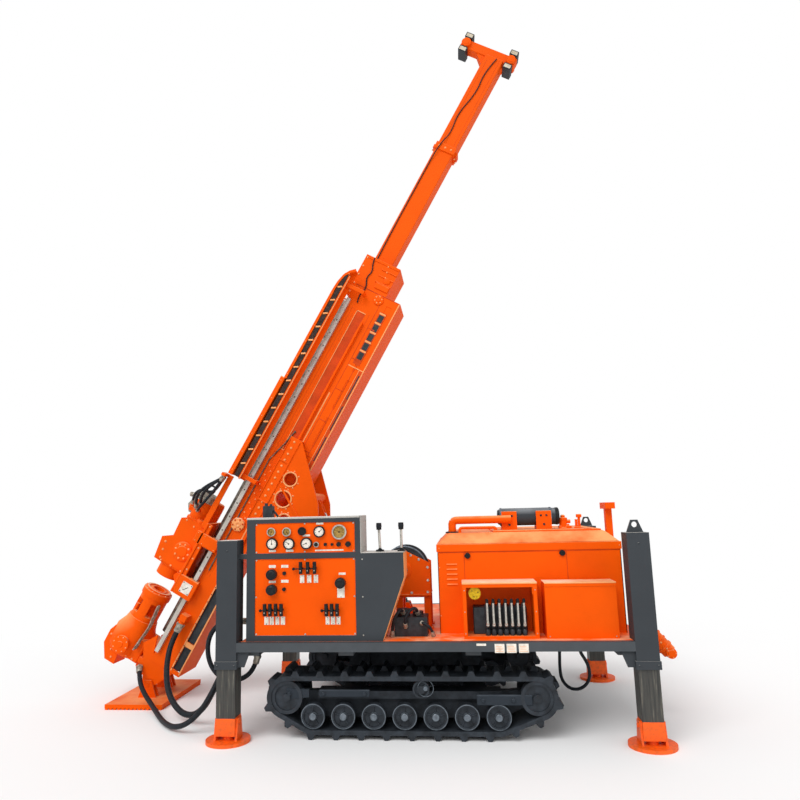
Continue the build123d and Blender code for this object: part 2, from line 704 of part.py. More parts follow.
# Cradle: arms from the pivot to slide shoes that grip the mast's side flanges
arm_in = 292
arm_thick = 28
shoe_s0 = 1960
shoe_s1 = 2900
lug_s = pivot_s + 200
lug_n = pivot_n + 20
cradle = None
flange_out = beam_half + slide_flange
for step in (-1, 1):
    w0, w1 = sorted((step * arm_in, step * (arm_in + arm_thick)))
    arm = mast * (Pos(0, 0, w0) * extrude(make_face(Polyline(
        (pivot_s - 90, pivot_n - 30), (pivot_s + 60, pivot_n - 90), (lug_s + 120, lug_n + 40),
        (shoe_s1, slide_flange_n - 60), (shoe_s1, slide_flange_n + 60), (shoe_s0, slide_flange_n + 60),
        (shoe_s0, slide_flange_n - 60), close=True)), arm_thick))
    for s, n, r in ((2140, -330, 60), (2320, -220, 75), (2520, -190, 62)):
        hole = Pos(s, n, w0 - 1) * Cylinder(r, arm_thick + 2, align=(Align.CENTER, Align.CENTER, Align.MIN))
        arm -= mast * hole
    bore = Pos(pivot_s, pivot_n, w0 - 1) * Cylinder(
        pivot_pin + pin_clear, arm_thick + 2, align=(Align.CENTER, Align.CENTER, Align.MIN))
    arm -= mast * bore
    s0, s1 = sorted((step * (beam_half + 4), step * arm_in))
    shoe = mast * box(shoe_s0, shoe_s1, slide_flange_n - 60, slide_flange_n + 60, s0, s1)
    g0, g1 = sorted((step * (beam_half - 2), step * (flange_out + slide_clear)))
    groove_half = slide_flange_thick / 2 + slide_clear
    shoe -= mast * box(shoe_s0 - 1, shoe_s1 + 1, slide_flange_n - groove_half, slide_flange_n + groove_half, g0, g1)
    piece = arm + shoe
    cradle = piece if cradle is None else cradle + piece
cross_s = lug_s + 130
cross_n = lug_n + 146
ear_in = 38
ear_thick = 16
cradle += mast * (Pos(cross_s, cross_n, -arm_in) * Cylinder(
    48, 2 * arm_in, align=(Align.CENTER, Align.CENTER, Align.MIN)))
for step in (-1, 1):
    w0, w1 = sorted((step * ear_in, step * (ear_in + ear_thick)))
    cradle += mast * (Pos(0, 0, w0) * extrude(make_face(Polyline(
        (cross_s - 45, cross_n - 10), (lug_s - 45, lug_n + 10), (lug_s - 10, lug_n - 48), (lug_s + 45, lug_n - 15),
        (cross_s + 30, cross_n - 20), close=True)), ear_thick))
add("cradle", cradle)

# Tilt cylinder: barrel pinned on the deck, rod up to the cradle's ears
lug_x, lug_z = from_mast(lug_s, lug_n)
base_x = pivot_x + 905
base_z = pivot_z - 700
cyl_length = hypot(lug_x - base_x, lug_z - base_z)
cyl_dir = ((lug_x - base_x) / cyl_length, (lug_z - base_z) / cyl_length)


def on_cylinder(distance):
    return (base_x + cyl_dir[0] * distance, mast_y, base_z + cyl_dir[1] * distance)


barrel_end = 860
barrel_radius = 60
rod_radius = 32
clevis_pin = 25
clevis_gap = 2
barrel = rod(on_cylinder(30), on_cylinder(barrel_end), barrel_radius)
barrel -= rod(on_cylinder(120), on_cylinder(barrel_end + 1), rod_radius + pin_clear)
barrel += rod((base_x, mast_y - barrel_radius, base_z), (base_x, mast_y + barrel_radius, base_z), 50)
barrel -= rod((base_x, mast_y - 70, base_z), (base_x, mast_y + 70, base_z), clevis_pin + pin_clear)
add("tilt_barrel", barrel)
piston = rod(on_cylinder(barrel_end - 250), on_cylinder(cyl_length - 30), rod_radius)
piston += rod((lug_x, mast_y - 28, lug_z), (lug_x, mast_y + 28, lug_z), 46)
add("tilt_rod", piston)
clevis = rod((base_x, mast_y - 92, base_z), (base_x, mast_y + 92, base_z), clevis_pin)
for step in (-1, 1):
    y0, y1 = sorted((mast_y + step * (barrel_radius + clevis_gap), mast_y + step * (barrel_radius + clevis_gap + 20)))
    clevis += slab([(base_x - 90, deck_top), (base_x + 90, deck_top), (base_x + 45, base_z + 40),
                    (base_x - 45, base_z + 40)], "y", y0, y1)
clevis += box(base_x - 120, base_x + 120, mast_y - 100, mast_y + 100, deck_top, deck_top + 12)
add("mast_supports", pedestal, clevis, rest)

# Mast beam: hollow box with side flanges, a deeper box at the back above the cradle and a slotted tail
outer = box(beam_bottom, beam_top, beam_back, beam_front, -beam_half, beam_half)
outer += box(box_bottom, box_top, box_back, beam_back + 1, -beam_half, beam_half)
cavity_n0 = ext_n - ext_size / 2 - 6
cavity_n1 = ext_n + ext_size / 2 - 6
outer -= box(beam_bottom - 1, beam_top + 1, beam_back + beam_wall, beam_front - beam_wall,
             -beam_half + beam_wall, beam_half - beam_wall)
outer -= box(box_bottom + beam_wall, box_top - beam_wall, box_back + beam_wall, beam_back,
             -beam_half + beam_wall, beam_half - beam_wall)
for s0, s1 in ((370, 610), (660, 1230)):
    outer -= box(s0, s1, -105, -25, -beam_half - 1, beam_half + 1)
for i in range(5):
    s0 = box_bottom + 120 + i * 430
    for w in (-beam_half, beam_half - 4):
        outer -= box(s0, s0 + 330, -255, -195, w, w + 4)
for step in (-1, 1):
    w0, w1 = sorted((step * beam_half, step * flange_out))
    outer += box(slide_flange_bottom, slide_flange_top, slide_flange_n - slide_flange_thick / 2,
                 slide_flange_n + slide_flange_thick / 2, w0, w1)
for step in (-1, 1):
    w0, w1 = sorted((step * (beam_half - 30), step * (beam_half - 10)))
    plate = Pos(0, 0, w0) * extrude(make_face(Polyline(
        (beam_bottom + 2, beam_back + 70), (beam_bottom + 2, beam_front - 12), (560, beam_front + 60),
        (430, beam_front + 150), (100, foot_pin_n + 60), (foot_pin_s - 50, foot_pin_n - 20),
        (foot_pin_s + 20, foot_pin_n - 60), close=True)), 20)
    outer += plate
crown_top = beam_top + crown_high
crown = box(beam_top - crown_low, crown_top, -140, 254, -beam_half, beam_half)
crown -= box(beam_top - crown_low - 20, crown_top + 20, ext_n - ext_size / 2 - 10, ext_n + ext_size / 2 + 10,
             -beam_half + beam_wall, beam_half - beam_wall)
pad_low = crown_top - 70
for step in (-1, 1):
    w0, w1 = sorted((step * (ext_size / 2 + ext_clear), step * (beam_half - beam_wall + 1)))
    crown += box(pad_low, crown_top, ext_n - 60, ext_n + 60, w0, w1)
    n0, n1 = sorted((ext_n + step * (ext_size / 2 + ext_clear), ext_n + step * (ext_size / 2 + 11)))
    crown += box(pad_low, crown_top, n0, n1, -80, 80)
outer += crown
outer += Pos(foot_pin_s, foot_pin_n, -beam_half - 26) * Cylinder(
    foot_pin_radius, 2 * beam_half + 52, align=(Align.CENTER, Align.CENTER, Align.MIN))
outer += box(830, 890, 60, 130, beam_half, 325)
add("mast_beam", mast * outer)

# Bright guide rails along both sides and the feed cylinder in front
rail_bars = []
for step in (-1, 1):
    w0, w1 = sorted((step * beam_half, step * (beam_half + rail_size)))
    rail_bars.append(mast * box(rail_bottom - 560, rail_top, rail_n - rail_size / 2, rail_n + rail_size / 2, w0, w1))
add("guide_rails", *rail_bars)
feed_n = beam_front + 62
feed = Pos(560, feed_n, 0) * Rot(0, 90, 0) * Cylinder(45, 3860, align=(Align.CENTER, Align.CENTER, Align.MIN))
for s in (600, 4340):
    feed += box(s - 30, s + 30, beam_front, feed_n, -40, 40)
add("feed_cylinder", mast * feed)

# Hose tray on the near side with its chain segments and brackets
tray_w0 = 300
tray_w1 = 382
tray_s0 = 2290
tray_s1 = 4660
tray = box(tray_s0, 3380, 340, 385, tray_w0, tray_w1) + box(3380, tray_s1, 325, 352, tray_w0, tray_w1)
tray += box(tray_s0, tray_s1, 262, 270, tray_w0, tray_w1)
tray += box(tray_s0, tray_s1, 262, 345, tray_w0, tray_w0 + 6)
for i in range(6):
    s = 2400 + i * 420
    tray += box(s, s + 50, 60, 262, tray_w0 + 20, tray_w0 + 32)
    tray += box(s, s + 50, 60, 72, beam_half, tray_w0 + 26)
add("hose_tray", mast * tray)
chain = []
for i in range(15):
    s = tray_s0 + 20 + i * 156
    chain.append(mast * box(s, s + 120, 270, 324, tray_w0 + 8, tray_w1 - 4))
add("hose_chain", *chain)

# Telescopic tube and the head bar with its sheaves and lamps
ext = box(ext_bottom, ext_top, ext_n - ext_size / 2, ext_n + ext_size / 2, -ext_size / 2, ext_size / 2)
ext -= box(ext_bottom - 1, ext_top - 20, ext_n - ext_size / 2 + ext_wall, ext_n + ext_size / 2 - ext_wall,
           -ext_size / 2 + ext_wall, ext_size / 2 - ext_wall)
ext += box(6240, 6300, ext_n - ext_size / 2 - 14, ext_n + ext_size / 2 + 14, -ext_size / 2 - 14, ext_size / 2 + 14)
bar_n0 = -130
bar = box(ext_top, ext_top + head_bar_size, bar_n0, bar_n0 + head_bar_length, -60, 60)
for n in (bar_n0 + 60, bar_n0 + head_bar_length - 60):
    bar += Pos(ext_top + head_bar_size / 2, n, -95) * Cylinder(50, 190, align=(Align.CENTER, Align.CENTER, Align.MIN))
add("mast_extension", mast * (ext + bar))
lamps = []
for n in (bar_n0 + 60, bar_n0 + head_bar_length - 60):
    for s in (ext_top - lamp_size, ext_top + head_bar_size):
        lamps.append(mast * box(s, s + lamp_size, n - 50, n + 50, -90, 90))
add("head_lamps", *lamps)

# Drill head: carriage on the guide rails, gearbox, motor and hollow spindle
plate_w = beam_half + rail_size + 3
carriage = None
head_top = head_s + head_height
for step in (-1, 1):
    w0, w1 = sorted((step * plate_w, step * (plate_w + 16)))
    side_plate = box(head_s, head_top, 150, 345, w0, w1)
    for n0, n1 in ((rail_n - rail_size / 2 - 30, rail_n - rail_size / 2 - 1),
                   (rail_n + rail_size / 2 + 1, rail_n + rail_size / 2 + 30)):
        c0, c1 = sorted((step * (beam_half + 5), step * (plate_w + 1)))
        side_plate += box(head_s, head_top, n0, n1, c0, c1)
    carriage = side_plate if carriage is None else carriage + side_plate
carriage += box(head_s, head_top, 330, 352, -plate_w - 16, plate_w + 16)
carriage += box(head_top - 60, 2270, 345, 400, plate_w, plate_w + 16)
carriage += box(2240, 2270, 395, 440, plate_w, 380)
add("head_carriage", mast * carriage)
gearbox = box(1290, 1660, 352, 790, -190, 190)
gearbox = chamfer(gearbox.edges().filter_by(Axis.Z), 70)
gearbox += Pos(1180, drill_axis_n, 0) * Rot(0, 90, 0) * Cylinder(
    150, 120, align=(Align.CENTER, Align.CENTER, Align.MIN))
gearbox += Pos(1655, drill_axis_n, 0) * Rot(0, 90, 0) * Cylinder(
    98, 225, align=(Align.CENTER, Align.CENTER, Align.MIN))
spindle_hole = Pos(1100, drill_axis_n, 0) * Rot(0, 90, 0) * Cylinder(
    spindle_outer + pin_clear, 800, align=(Align.CENTER, Align.CENTER, Align.MIN))
gearbox -= spindle_hole
motor = Pos(1660, 470, -150) * Rot(0, 90, 0) * Cylinder(62, 250, align=(Align.CENTER, Align.CENTER, Align.MIN))
add("head_gearbox", mast * (gearbox + motor))
spindle = Pos(1080, drill_axis_n, 0) * Rot(0, 90, 0) * Cylinder(
    spindle_outer, 880, align=(Align.CENTER, Align.CENTER, Align.MIN))
spindle += Pos(1040, drill_axis_n, 0) * Rot(0, 90, 0) * Cylinder(
    118, 110, align=(Align.CENTER, Align.CENTER, Align.MIN))
spindle -= Pos(1000, drill_axis_n, 0) * Rot(0, 90, 0) * Cylinder(
    spindle_bore, 1000, align=(Align.CENTER, Align.CENTER, Align.MIN))
add("spindle", mast * spindle)

# Foot clamp: ring and cage over a body, held by a bracket from the mast's tail
clamp = Pos(860, drill_axis_n, 0) * Rot(0, 90, 0) * Cylinder(130, 70, align=(Align.CENTER, Align.CENTER, Align.MIN))
for a in range(3):
    angle = radians(30 + a * 120)
    clamp += Pos(560, drill_axis_n + 105 * cos(angle), 105 * sin(angle)) * Rot(0, 90, 0) * Cylinder(
        24, 310, align=(Align.CENTER, Align.CENTER, Align.MIN))
clamp += Pos(430, drill_axis_n, 0) * Rot(0, 90, 0) * Cylinder(
    125, 200, align=(Align.CENTER, Align.CENTER, Align.MIN))
clamp += box(190, 440, drill_axis_n - 200, drill_axis_n + 210, -170, 170)
clamp += box(190, 440, beam_front + 20, drill_axis_n - 190, -120, 120)
clamp += box(190, beam_bottom - 2, beam_front - 130, beam_front + 30, -beam_half + 30, beam_half - 30)
clamp -= Pos(100, drill_axis_n, 0) * Rot(0, 90, 0) * Cylinder(60, 900, align=(Align.CENTER, Align.CENTER, Align.MIN))
add("foot_clamp", mast * clamp)

# Foot plate on a hinge pin below the tail
foot_x, foot_z = from_mast(foot_pin_s, foot_pin_n)
plate_x0 = foot_x - 300
foot = box(plate_x0, plate_x0 + foot_length, mast_y - foot_width / 2, mast_y + foot_width / 2, 14,
           14 + foot_plate_thick)
tooth = 40
for i in range(int(foot_width / tooth)):
    y = mast_y - foot_width / 2 + i * tooth
    for x in (plate_x0, plate_x0 + foot_length - 14):
        foot += box(x, x + 14, y + 6, y + tooth - 8, 0, 15)
for i in range(int(foot_length / tooth)):
    x = plate_x0 + i * tooth
    for y in (mast_y - foot_width / 2, mast_y + foot_width / 2 - 14):
        foot += box(x + 6, x + tooth - 8, y, y + 14, 0, 15)
for step in (-1, 1):
    for offset in (beam_half - 62, beam_half + 2):
        y0, y1 = sorted((mast_y + step * offset, mast_y + step * (offset + 20)))
        ear = slab([(foot_x - 90, 14 + foot_plate_thick), (foot_x + 90, 14 + foot_plate_thick),
                    (foot_x + 36, foot_z + 38), (foot_x - 36, foot_z + 38)], "y", y0, y1)
        ear -= rod((foot_x, y0 - 1, foot_z), (foot_x, y1 + 1, foot_z), foot_pin_radius + pin_clear)
        foot += ear
add("foot_plate", foot)



# Hoses as plain tubes: straight runs joined by arcs as large as the runs allow,
# with a gland at each end that grows out of the piece that carries it
def grow(name, piece):
    add(name, nodes[name] + piece)


def gland(name, end, inner, radius, length):
    way = (Vector(*end) - Vector(*inner)).normalized() * length
    grow(name, rod(end, tuple(Vector(*end) + way), radius))


def make_hose(name, points, size, first, last):
    vectors = [Vector(*point) for point in points]
    radii = []
    for before, here, after in zip(vectors, vectors[1:], vectors[2:]):
        turn = radians((here - before).get_angle(after - here))
        radii.append(0.45 * min((here - before).length, (after - here).length) / tan(turn / 2))
    path = FilletPolyline(*vectors, radius=radii)
    face = Plane(origin=path @ 0, z_dir=path % 0) * Circle(size / 2)
    solid = sweep(face, path=path)
    share = solid.volume / (pi * size * size / 4 * path.length)
    print(name, "length", round(path.length), "radii", [round(r) for r in radii], "volume share", round(share, 4))
    add(name, solid)
    gland(first[0], points[0], points[1], size / 2 + 7, first[1])
    gland(last[0], points[-1], points[-2], size / 2 + 7, last[1])


def hose_points(*points):
    return [(front_jack_x + x, y, z) for x, y, z in points]


def head_points(*points):
    return [tuple((mast * Pos(*point)).position) for point in points]


make_hose("hose_a", hose_points(
    (-834, -5, 743), (-888, -12, 645), (-915, -80, 520), (-890, -190, 390), (-835, -305, 275), (-765, -400, 185),
    (-670, -485, 112), (-560, -565, 70), (-435, -635, 82), (-325, -685, 165), (-245, -708, 300), (-170, -712, 445),
    (-75, -707, 585), (75, hose_a_y, hose_port_z)), hose_a_size, ("mast_beam", 50), ("deck_frame", 80))
make_hose("hose_b", hose_points(
    (-1276, 60, 328), (-1215, -64, 236), (-1125, -160, 150), (-1010, -262, 88), (-890, -400, 48), (-770, -560, 30),
    (-660, -700, 30), (-545, -815, 38), (-415, -880, 75), (-295, -884, 170), (-210, -872, 300), (-140, -855, 440),
    (-55, -847, 580), (75, hose_b_y, hose_port_z)), hose_b_size, ("foot_clamp", 110), ("deck_frame", 80))
make_hose("hose_c", hose_points(
    (102, -800, 880), (0, -800, 884), (-110, -800, 880), (-205, -800, 835), (-262, -800, 735), (-266, -799, 610),
    (-225, -797, 500), (-145, -794, 425), (-40, -790, 398), (70, -786, 430), (140, -782, 510),
    (165, -780, 602)), hose_c_size, ("control_cabinet", 48), ("deck_frame", 55))
port_ax, port_ay = rear_port_a
port_bx, port_by = rear_port_b
make_hose("rear_hose", [
    (port_ax, port_ay, 702), (port_ax + 10, port_ay + 2, 620), (port_ax + 60, port_ay + 12, 545),
    (port_ax + 88, port_ay + 40, 460), (port_ax + 80, port_ay + 80, 370), (port_ax + 20, port_ay + 130, 300),
    (port_ax - 60, port_ay + 180, 290), (port_bx - 8, port_by - 24, 350), (port_bx - 14, port_by - 8, 450),
    (port_bx - 6, port_by - 2, 560), (port_bx, port_by, 702)], rear_hose_size, ("deck_frame", 52), ("deck_frame", 52))
make_hose("head_hose_side", head_points(
    (2220, 417, 350), (2120, 422, 352), (2010, 445, 348), (1900, 480, 318), (1820, 520, 245), (1782, 552, 150)),
    head_hose_size, ("head_carriage", 25), ("head_gearbox", 62))
grow("head_gearbox", mast * box(1728, 1772, 600, 682, -24, 52))
make_hose("head_hose_loop", head_points(
    (2220, 417, 310), (2130, 424, 308), (2050, 455, 270), (2010, 520, 205), (1995, 600, 140), (1950, 672, 90),
    (1872, 700, 56), (1790, 676, 28)), head_hose_size, ("head_carriage", 25), ("head_gearbox", 30))
add("head_gearbox", nodes["head_gearbox"] - mast * spindle_hole)

for name, shape in nodes.items():
    export_step(shape, f"parts/{name}.step")
print(len(nodes), "nodes")
print("pivot", round(pivot_x / 1000, 4), mast_y / 1000, pivot_z / 1000, "foot pin", foot_x / 1000, foot_z / 1000)
print("cylinder base", base_x / 1000, base_z / 1000, "direction", cyl_dir, "length", cyl_length)
low = [min(tuple(shape.bounding_box().min)[i] for shape in nodes.values()) for i in range(3)]
high = [max(tuple(shape.bounding_box().max)[i] for shape in nodes.values()) for i in range(3)]
print("box", [round(v, 1) for v in low], [round(v, 1) for v in high])
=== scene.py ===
import bpy
import bmesh
import math
from mathutils import Matrix, Vector


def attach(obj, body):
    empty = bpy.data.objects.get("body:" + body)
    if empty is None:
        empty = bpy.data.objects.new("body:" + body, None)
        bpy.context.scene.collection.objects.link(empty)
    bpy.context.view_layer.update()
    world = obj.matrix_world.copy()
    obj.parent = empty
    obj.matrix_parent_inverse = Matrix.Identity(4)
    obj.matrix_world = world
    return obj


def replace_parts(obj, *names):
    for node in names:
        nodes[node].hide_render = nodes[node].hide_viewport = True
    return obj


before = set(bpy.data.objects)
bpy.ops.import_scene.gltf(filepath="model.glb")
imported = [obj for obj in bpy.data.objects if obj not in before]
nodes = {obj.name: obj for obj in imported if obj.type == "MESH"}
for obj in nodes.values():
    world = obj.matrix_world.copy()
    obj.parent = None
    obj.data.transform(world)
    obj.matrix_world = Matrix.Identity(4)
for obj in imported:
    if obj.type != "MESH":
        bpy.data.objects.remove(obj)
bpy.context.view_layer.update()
frontJack = -0.943  # x of the front jacks, in metres
mastFoot = {"back": 1.145, "across": 0.28, "lean": 60.5}  # metres from front jacks and middle; degrees
print("frame loaded:", len(nodes), "nodes")

# Shared helpers


def linearColour(code):
    code = code.lstrip("#")
    parts = [int(code[i:i + 2], 16) / 255 for i in (0, 2, 4)]
    return [c / 12.92 if c <= 0.04045 else ((c + 0.055) / 1.055) ** 2.4 for c in parts] + [1.0]


def addNode(tree, kind, settings=None, links=None):
    node = tree.nodes.new(kind)
    for key, value in (settings or {}).items():
        if isinstance(key, str) and hasattr(node, key):
            setattr(node, key, value)
        else:
            node.inputs[key].default_value = value
    for key, socket in (links or {}).items():
        tree.links.new(socket, node.inputs[key])
    return node


def newMaterial(name):
    material = bpy.data.materials.new(name)
    material.use_nodes = True
    tree = material.node_tree
    tree.nodes.clear()
    return material, tree


def rampNode(tree, source, stops):
    ramp = addNode(tree, "ShaderNodeValToRGB", links={"Fac": source})
    elements = ramp.color_ramp.elements
    while len(elements) < len(stops):
        elements.new(0.5)
    for element, (place, value) in zip(elements, stops):
        element.position = place
        element.color = value if isinstance(value, list) else [value, value, value, 1.0]
    return ramp.outputs["Color"]


def mixColours(tree, factor, first, second, blend="MIX"):
    mix = addNode(tree, "ShaderNodeMix", {"data_type": "RGBA", "blend_type": blend})
    for socket, value in ((mix.inputs[0], factor), (mix.inputs[6], first), (mix.inputs[7], second)):
        if isinstance(value, (int, float, list)):
            socket.default_value = value
        else:
            tree.links.new(value, socket)
    return mix.outputs[2]


def meshObject(name, bm):
    mesh = bpy.data.meshes.new(name)
    bm.to_mesh(mesh)
    bm.free()
    obj = bpy.data.objects.new(name, mesh)
    bpy.context.scene.collection.objects.link(obj)
    return obj


# Finishes: sprayed two-pack paint shows dust and painted top light on faces that look up, chips at random and
# a soft sheen
paints = {
    "orangePaint": {"colour": "#F65A00", "dustAndTopLight": "#FFB878", "chip": "#8A3E10",
                    "roughness": 0.46, "dustAndTopLightLevel": 0.36},
    "panelPaint": {"colour": "#FA5900", "dustAndTopLight": "#FFB27A", "chip": "#B85A20",
                   "roughness": 0.50, "dustAndTopLightLevel": 0.30},
    "darkGreyPaint": {"colour": "#404448", "dustAndTopLight": "#D2CFC8", "chip": "#33363A",
                      "roughness": 0.50, "dustAndTopLightLevel": 0.55},
    # cream orange: painted highlight on lit edges, lips, rims and bolt heads; the rating plates' rules use it
    # too
    "paleHighlightPaint": {"colour": "#F7A768", "dustAndTopLight": "#FFE2C6", "chip": "#B8713E", "roughness": 0.50, "dustAndTopLightLevel": 0.60},
    "cleanerPaint": {"colour": "#3C4146", "dustAndTopLight": "#8E9296", "chip": "#24272A",
                     "roughness": 0.30, "dustAndTopLightLevel": 0.40},
    "wheelPaint": {"colour": "#32383F", "dustAndTopLight": "#555C64", "chip": "#1C2024", "roughness": 0.5, "dustAndTopLightLevel": 0.4},
    # pale grey on top faces and edges: painted highlight where light falls on them
    "greyHighlightPaint": {"colour": "#B9B6B0", "dustAndTopLight": "#F0EBE4", "chip": "#5A5E62",
                    "roughness": 0.42, "dustAndTopLightLevel": 0.5},
}
patchShade = 0.86  # how dark the cloudy patches in a sprayed paint are
materials = {}


def sprayedPaint(name, facts):
    material, tree = newMaterial(name)
    coords = addNode(tree, "ShaderNodeTexCoord").outputs["Object"]
    normal = addNode(tree, "ShaderNodeNewGeometry").outputs["Normal"]
    up = addNode(tree, "ShaderNodeSeparateXYZ", links={0: normal}).outputs["Z"]
    cloud = addNode(tree, "ShaderNodeTexNoise", {"Scale": 2.2, "Detail": 6.0, "Roughness": 0.62},
                    {"Vector": coords}).outputs["Fac"]
    grit = addNode(tree, "ShaderNodeTexNoise", {"Scale": 38.0, "Detail": 8.0, "Roughness": 0.7},
                   {"Vector": coords}).outputs["Fac"]
    base = linearColour(facts["colour"])
    darker = [c * patchShade for c in base[:3]] + [1.0]
    colour = mixColours(tree, rampNode(tree, cloud, [(0.30, 0.0), (0.70, 1.0)]), darker, base)
    # dust and painted top light: faces that look up are painted paler, more where the cloud pattern is dense
    facing = rampNode(tree, up, [(0.25, 0.0), (0.80, 1.0)])
    dustAndTopLightMask = addNode(tree, "ShaderNodeMath", {"operation": "MULTIPLY"}, {0: facing, 1: rampNode(
        tree, cloud, [(0.36, 0.12), (0.62, facts["dustAndTopLightLevel"] + 0.40)])}).outputs[0]
    colour = mixColours(tree, dustAndTopLightMask, colour, linearColour(facts["dustAndTopLight"]))
    # chips of 5 to 15 mm
    chips = addNode(tree, "ShaderNodeTexVoronoi", {"Scale": 9.0, "Randomness": 1.0}, {"Vector": coords})
    chipNoise = addNode(tree, "ShaderNodeTexNoise", {"Scale": 70.0, "Detail": 3.0},
                        {"Vector": coords}).outputs["Fac"]
    spread = addNode(tree, "ShaderNodeMath", {"operation": "MULTIPLY_ADD", 1: 0.10, 2: -0.03},
                     {0: chipNoise}).outputs[0]
    size = addNode(tree, "ShaderNodeMath", {"operation": "LESS_THAN"},
                   {0: chips.outputs["Distance"], 1: spread}).outputs[0]
    colour = mixColours(tree, size, colour, linearColour(facts["chip"]))
    rough = addNode(tree, "ShaderNodeMath",
                    {"operation": "MULTIPLY_ADD", 1: 0.28, 2: facts["roughness"] - 0.10},
                    {0: grit}).outputs[0]
    bump = addNode(tree, "ShaderNodeBump", {"Strength": 0.10, "Distance": 0.004}, {"Height": grit})
    shader = addNode(tree, "ShaderNodeBsdfPrincipled", {"IOR": 1.5, "Specular IOR Level": 0.08},
                     {"Base Color": colour, "Roughness": rough, "Normal": bump.outputs["Normal"]})
    addNode(tree, "ShaderNodeOutputMaterial", links={"Surface": shader.outputs[0]})
    materials[name] = material


# Metals and plastics: colour, second colour, roughness, metallic, pattern scale in 1/m, bump height in m
plainFinishes = {
    "dryTrackSteel": ("#1B2026", "#333A42", 0.62, 0.30, 14.0, 0.003),
    "wheelRimSteel": ("#78818A", "#565E66", 0.40, 0.55, 30.0, 0.0006),
    "scuffedSteel": ("#8A8276", "#4A453E", 0.42, 0.75, 22.0, 0.001),
    "railSteel": ("#CFCAC1", "#AFA99F", 0.34, 0.45, 7.0, 0.0002),
    "castSteel": ("#B9B1A2", "#6E685E", 0.45, 0.50, 34.0, 0.001),
    "hardChrome": ("#E4E2DE", "#C8C6C2", 0.14, 1.0, 40.0, 0.0001),
    "oilyIron": ("#1C2024", "#363C41", 0.48, 0.30, 20.0, 0.002),
    "blackRubber": ("#14171B", "#262B31", 0.50, 0.0, 60.0, 0.001),
    "blackNylon": ("#121315", "#242628", 0.38, 0.0, 80.0, 0.0004),
    "chainNylon": ("#2E1B12", "#57301A", 0.50, 0.0, 40.0, 0.001),
    "brassFitting": ("#C9A35A", "#8A6C34", 0.30, 0.9, 50.0, 0.0003),
    "bezelSteel": ("#D6D2C8", "#A6A299", 0.30, 0.75, 60.0, 0.0002),
    "dialWhite": ("#EDE6DA", "#DDD4C6", 0.50, 0.0, 30.0, 0.0001),
    "plateWhite": ("#F1EBE0", "#CFC6B8", 0.50, 0.0, 25.0, 0.0002),
    "yellowPlastic": ("#E0B81C", "#A88A14", 0.42, 0.0, 50.0, 0.0003),
    "lampGlass": ("#D8CDB8", "#B0A48E", 0.22, 0.0, 20.0, 0.0002),
    # darker orange: seams and joints, and painted shade in grooves, recesses and under lips
    "seamAndShadePaint": ("#D64600", "#B23A00", 0.55, 0.0, 5.0, 0.0005),
}


def plainFinish(name, facts):
    first, second, roughness, metallic, scale, height = facts
    material, tree = newMaterial(name)
    coords = addNode(tree, "ShaderNodeTexCoord").outputs["Object"]
    cloud = addNode(tree, "ShaderNodeTexNoise", {"Scale": scale, "Detail": 7.0, "Roughness": 0.6},
                    {"Vector": coords}).outputs["Fac"]
    colour = mixColours(tree, rampNode(tree, cloud, [(0.35, 0.0), (0.68, 1.0)]), linearColour(first),
                        linearColour(second))
    rough = addNode(tree, "ShaderNodeMath", {"operation": "MULTIPLY_ADD", 1: 0.22, 2: roughness - 0.09},
                    {0: cloud}).outputs[0]
    bump = addNode(tree, "ShaderNodeBump", {"Strength": 0.4, "Distance": height}, {"Height": cloud})
    shader = addNode(tree, "ShaderNodeBsdfPrincipled",
                     {"Metallic": metallic, "Specular IOR Level": 0.5 if metallic else 0.2},
                     {"Base Color": colour, "Roughness": rough, "Normal": bump.outputs["Normal"]})
    addNode(tree, "ShaderNodeOutputMaterial", links={"Surface": shader.outputs[0]})
    materials[name] = material


# Jack legs: scuffed tube above, orange painted shoe and pad below the given height
def legFinish(name, shoeHeight):
    material, tree = newMaterial(name)
    coords = addNode(tree, "ShaderNodeTexCoord").outputs["Object"]
    parts = addNode(tree, "ShaderNodeSeparateXYZ", links={0: coords}).outputs
    streak = addNode(tree, "ShaderNodeMapping", {"Scale": (60.0, 60.0, 3.0)}, {"Vector": coords}).outputs[0]
    scuff = addNode(tree, "ShaderNodeTexNoise", {"Scale": 1.0, "Detail": 6.0, "Roughness": 0.65},
                    {"Vector": streak}).outputs["Fac"]
    metal = rampNode(tree, scuff, [(0.34, linearColour("#2B2C2C")), (0.58, linearColour("#45443F")),
                                   (0.80, linearColour("#8A8476"))])
    grit = addNode(tree, "ShaderNodeTexNoise", {"Scale": 30.0, "Detail": 6.0},
                   {"Vector": coords}).outputs["Fac"]
    paint = mixColours(tree, rampNode(tree, grit, [(0.35, 0.0), (0.72, 1.0)]), linearColour("#FF6200"),
                       linearColour("#D85A14"))
    below = addNode(tree, "ShaderNodeMath", {"operation": "LESS_THAN", 1: shoeHeight},
                    {0: parts["Z"]}).outputs[0]
    colour = mixColours(tree, below, metal, paint)
    bump = addNode(tree, "ShaderNodeBump", {"Strength": 0.3, "Distance": 0.002}, {"Height": scuff})
    shader = addNode(tree, "ShaderNodeBsdfPrincipled", {"Roughness": 0.5, "Metallic": 0.1},
                     {"Base Color": colour, "Normal": bump.outputs["Normal"]})
    addNode(tree, "ShaderNodeOutputMaterial", links={"Surface": shader.outputs[0]})
    materials[name] = material


for finishName, finishFacts in paints.items():
    sprayedPaint(finishName, finishFacts)
for finishName, finishFacts in plainFinishes.items():
    plainFinish(finishName, finishFacts)
legFinish("legSteel", 0.191)  # height of the shoe, in metres


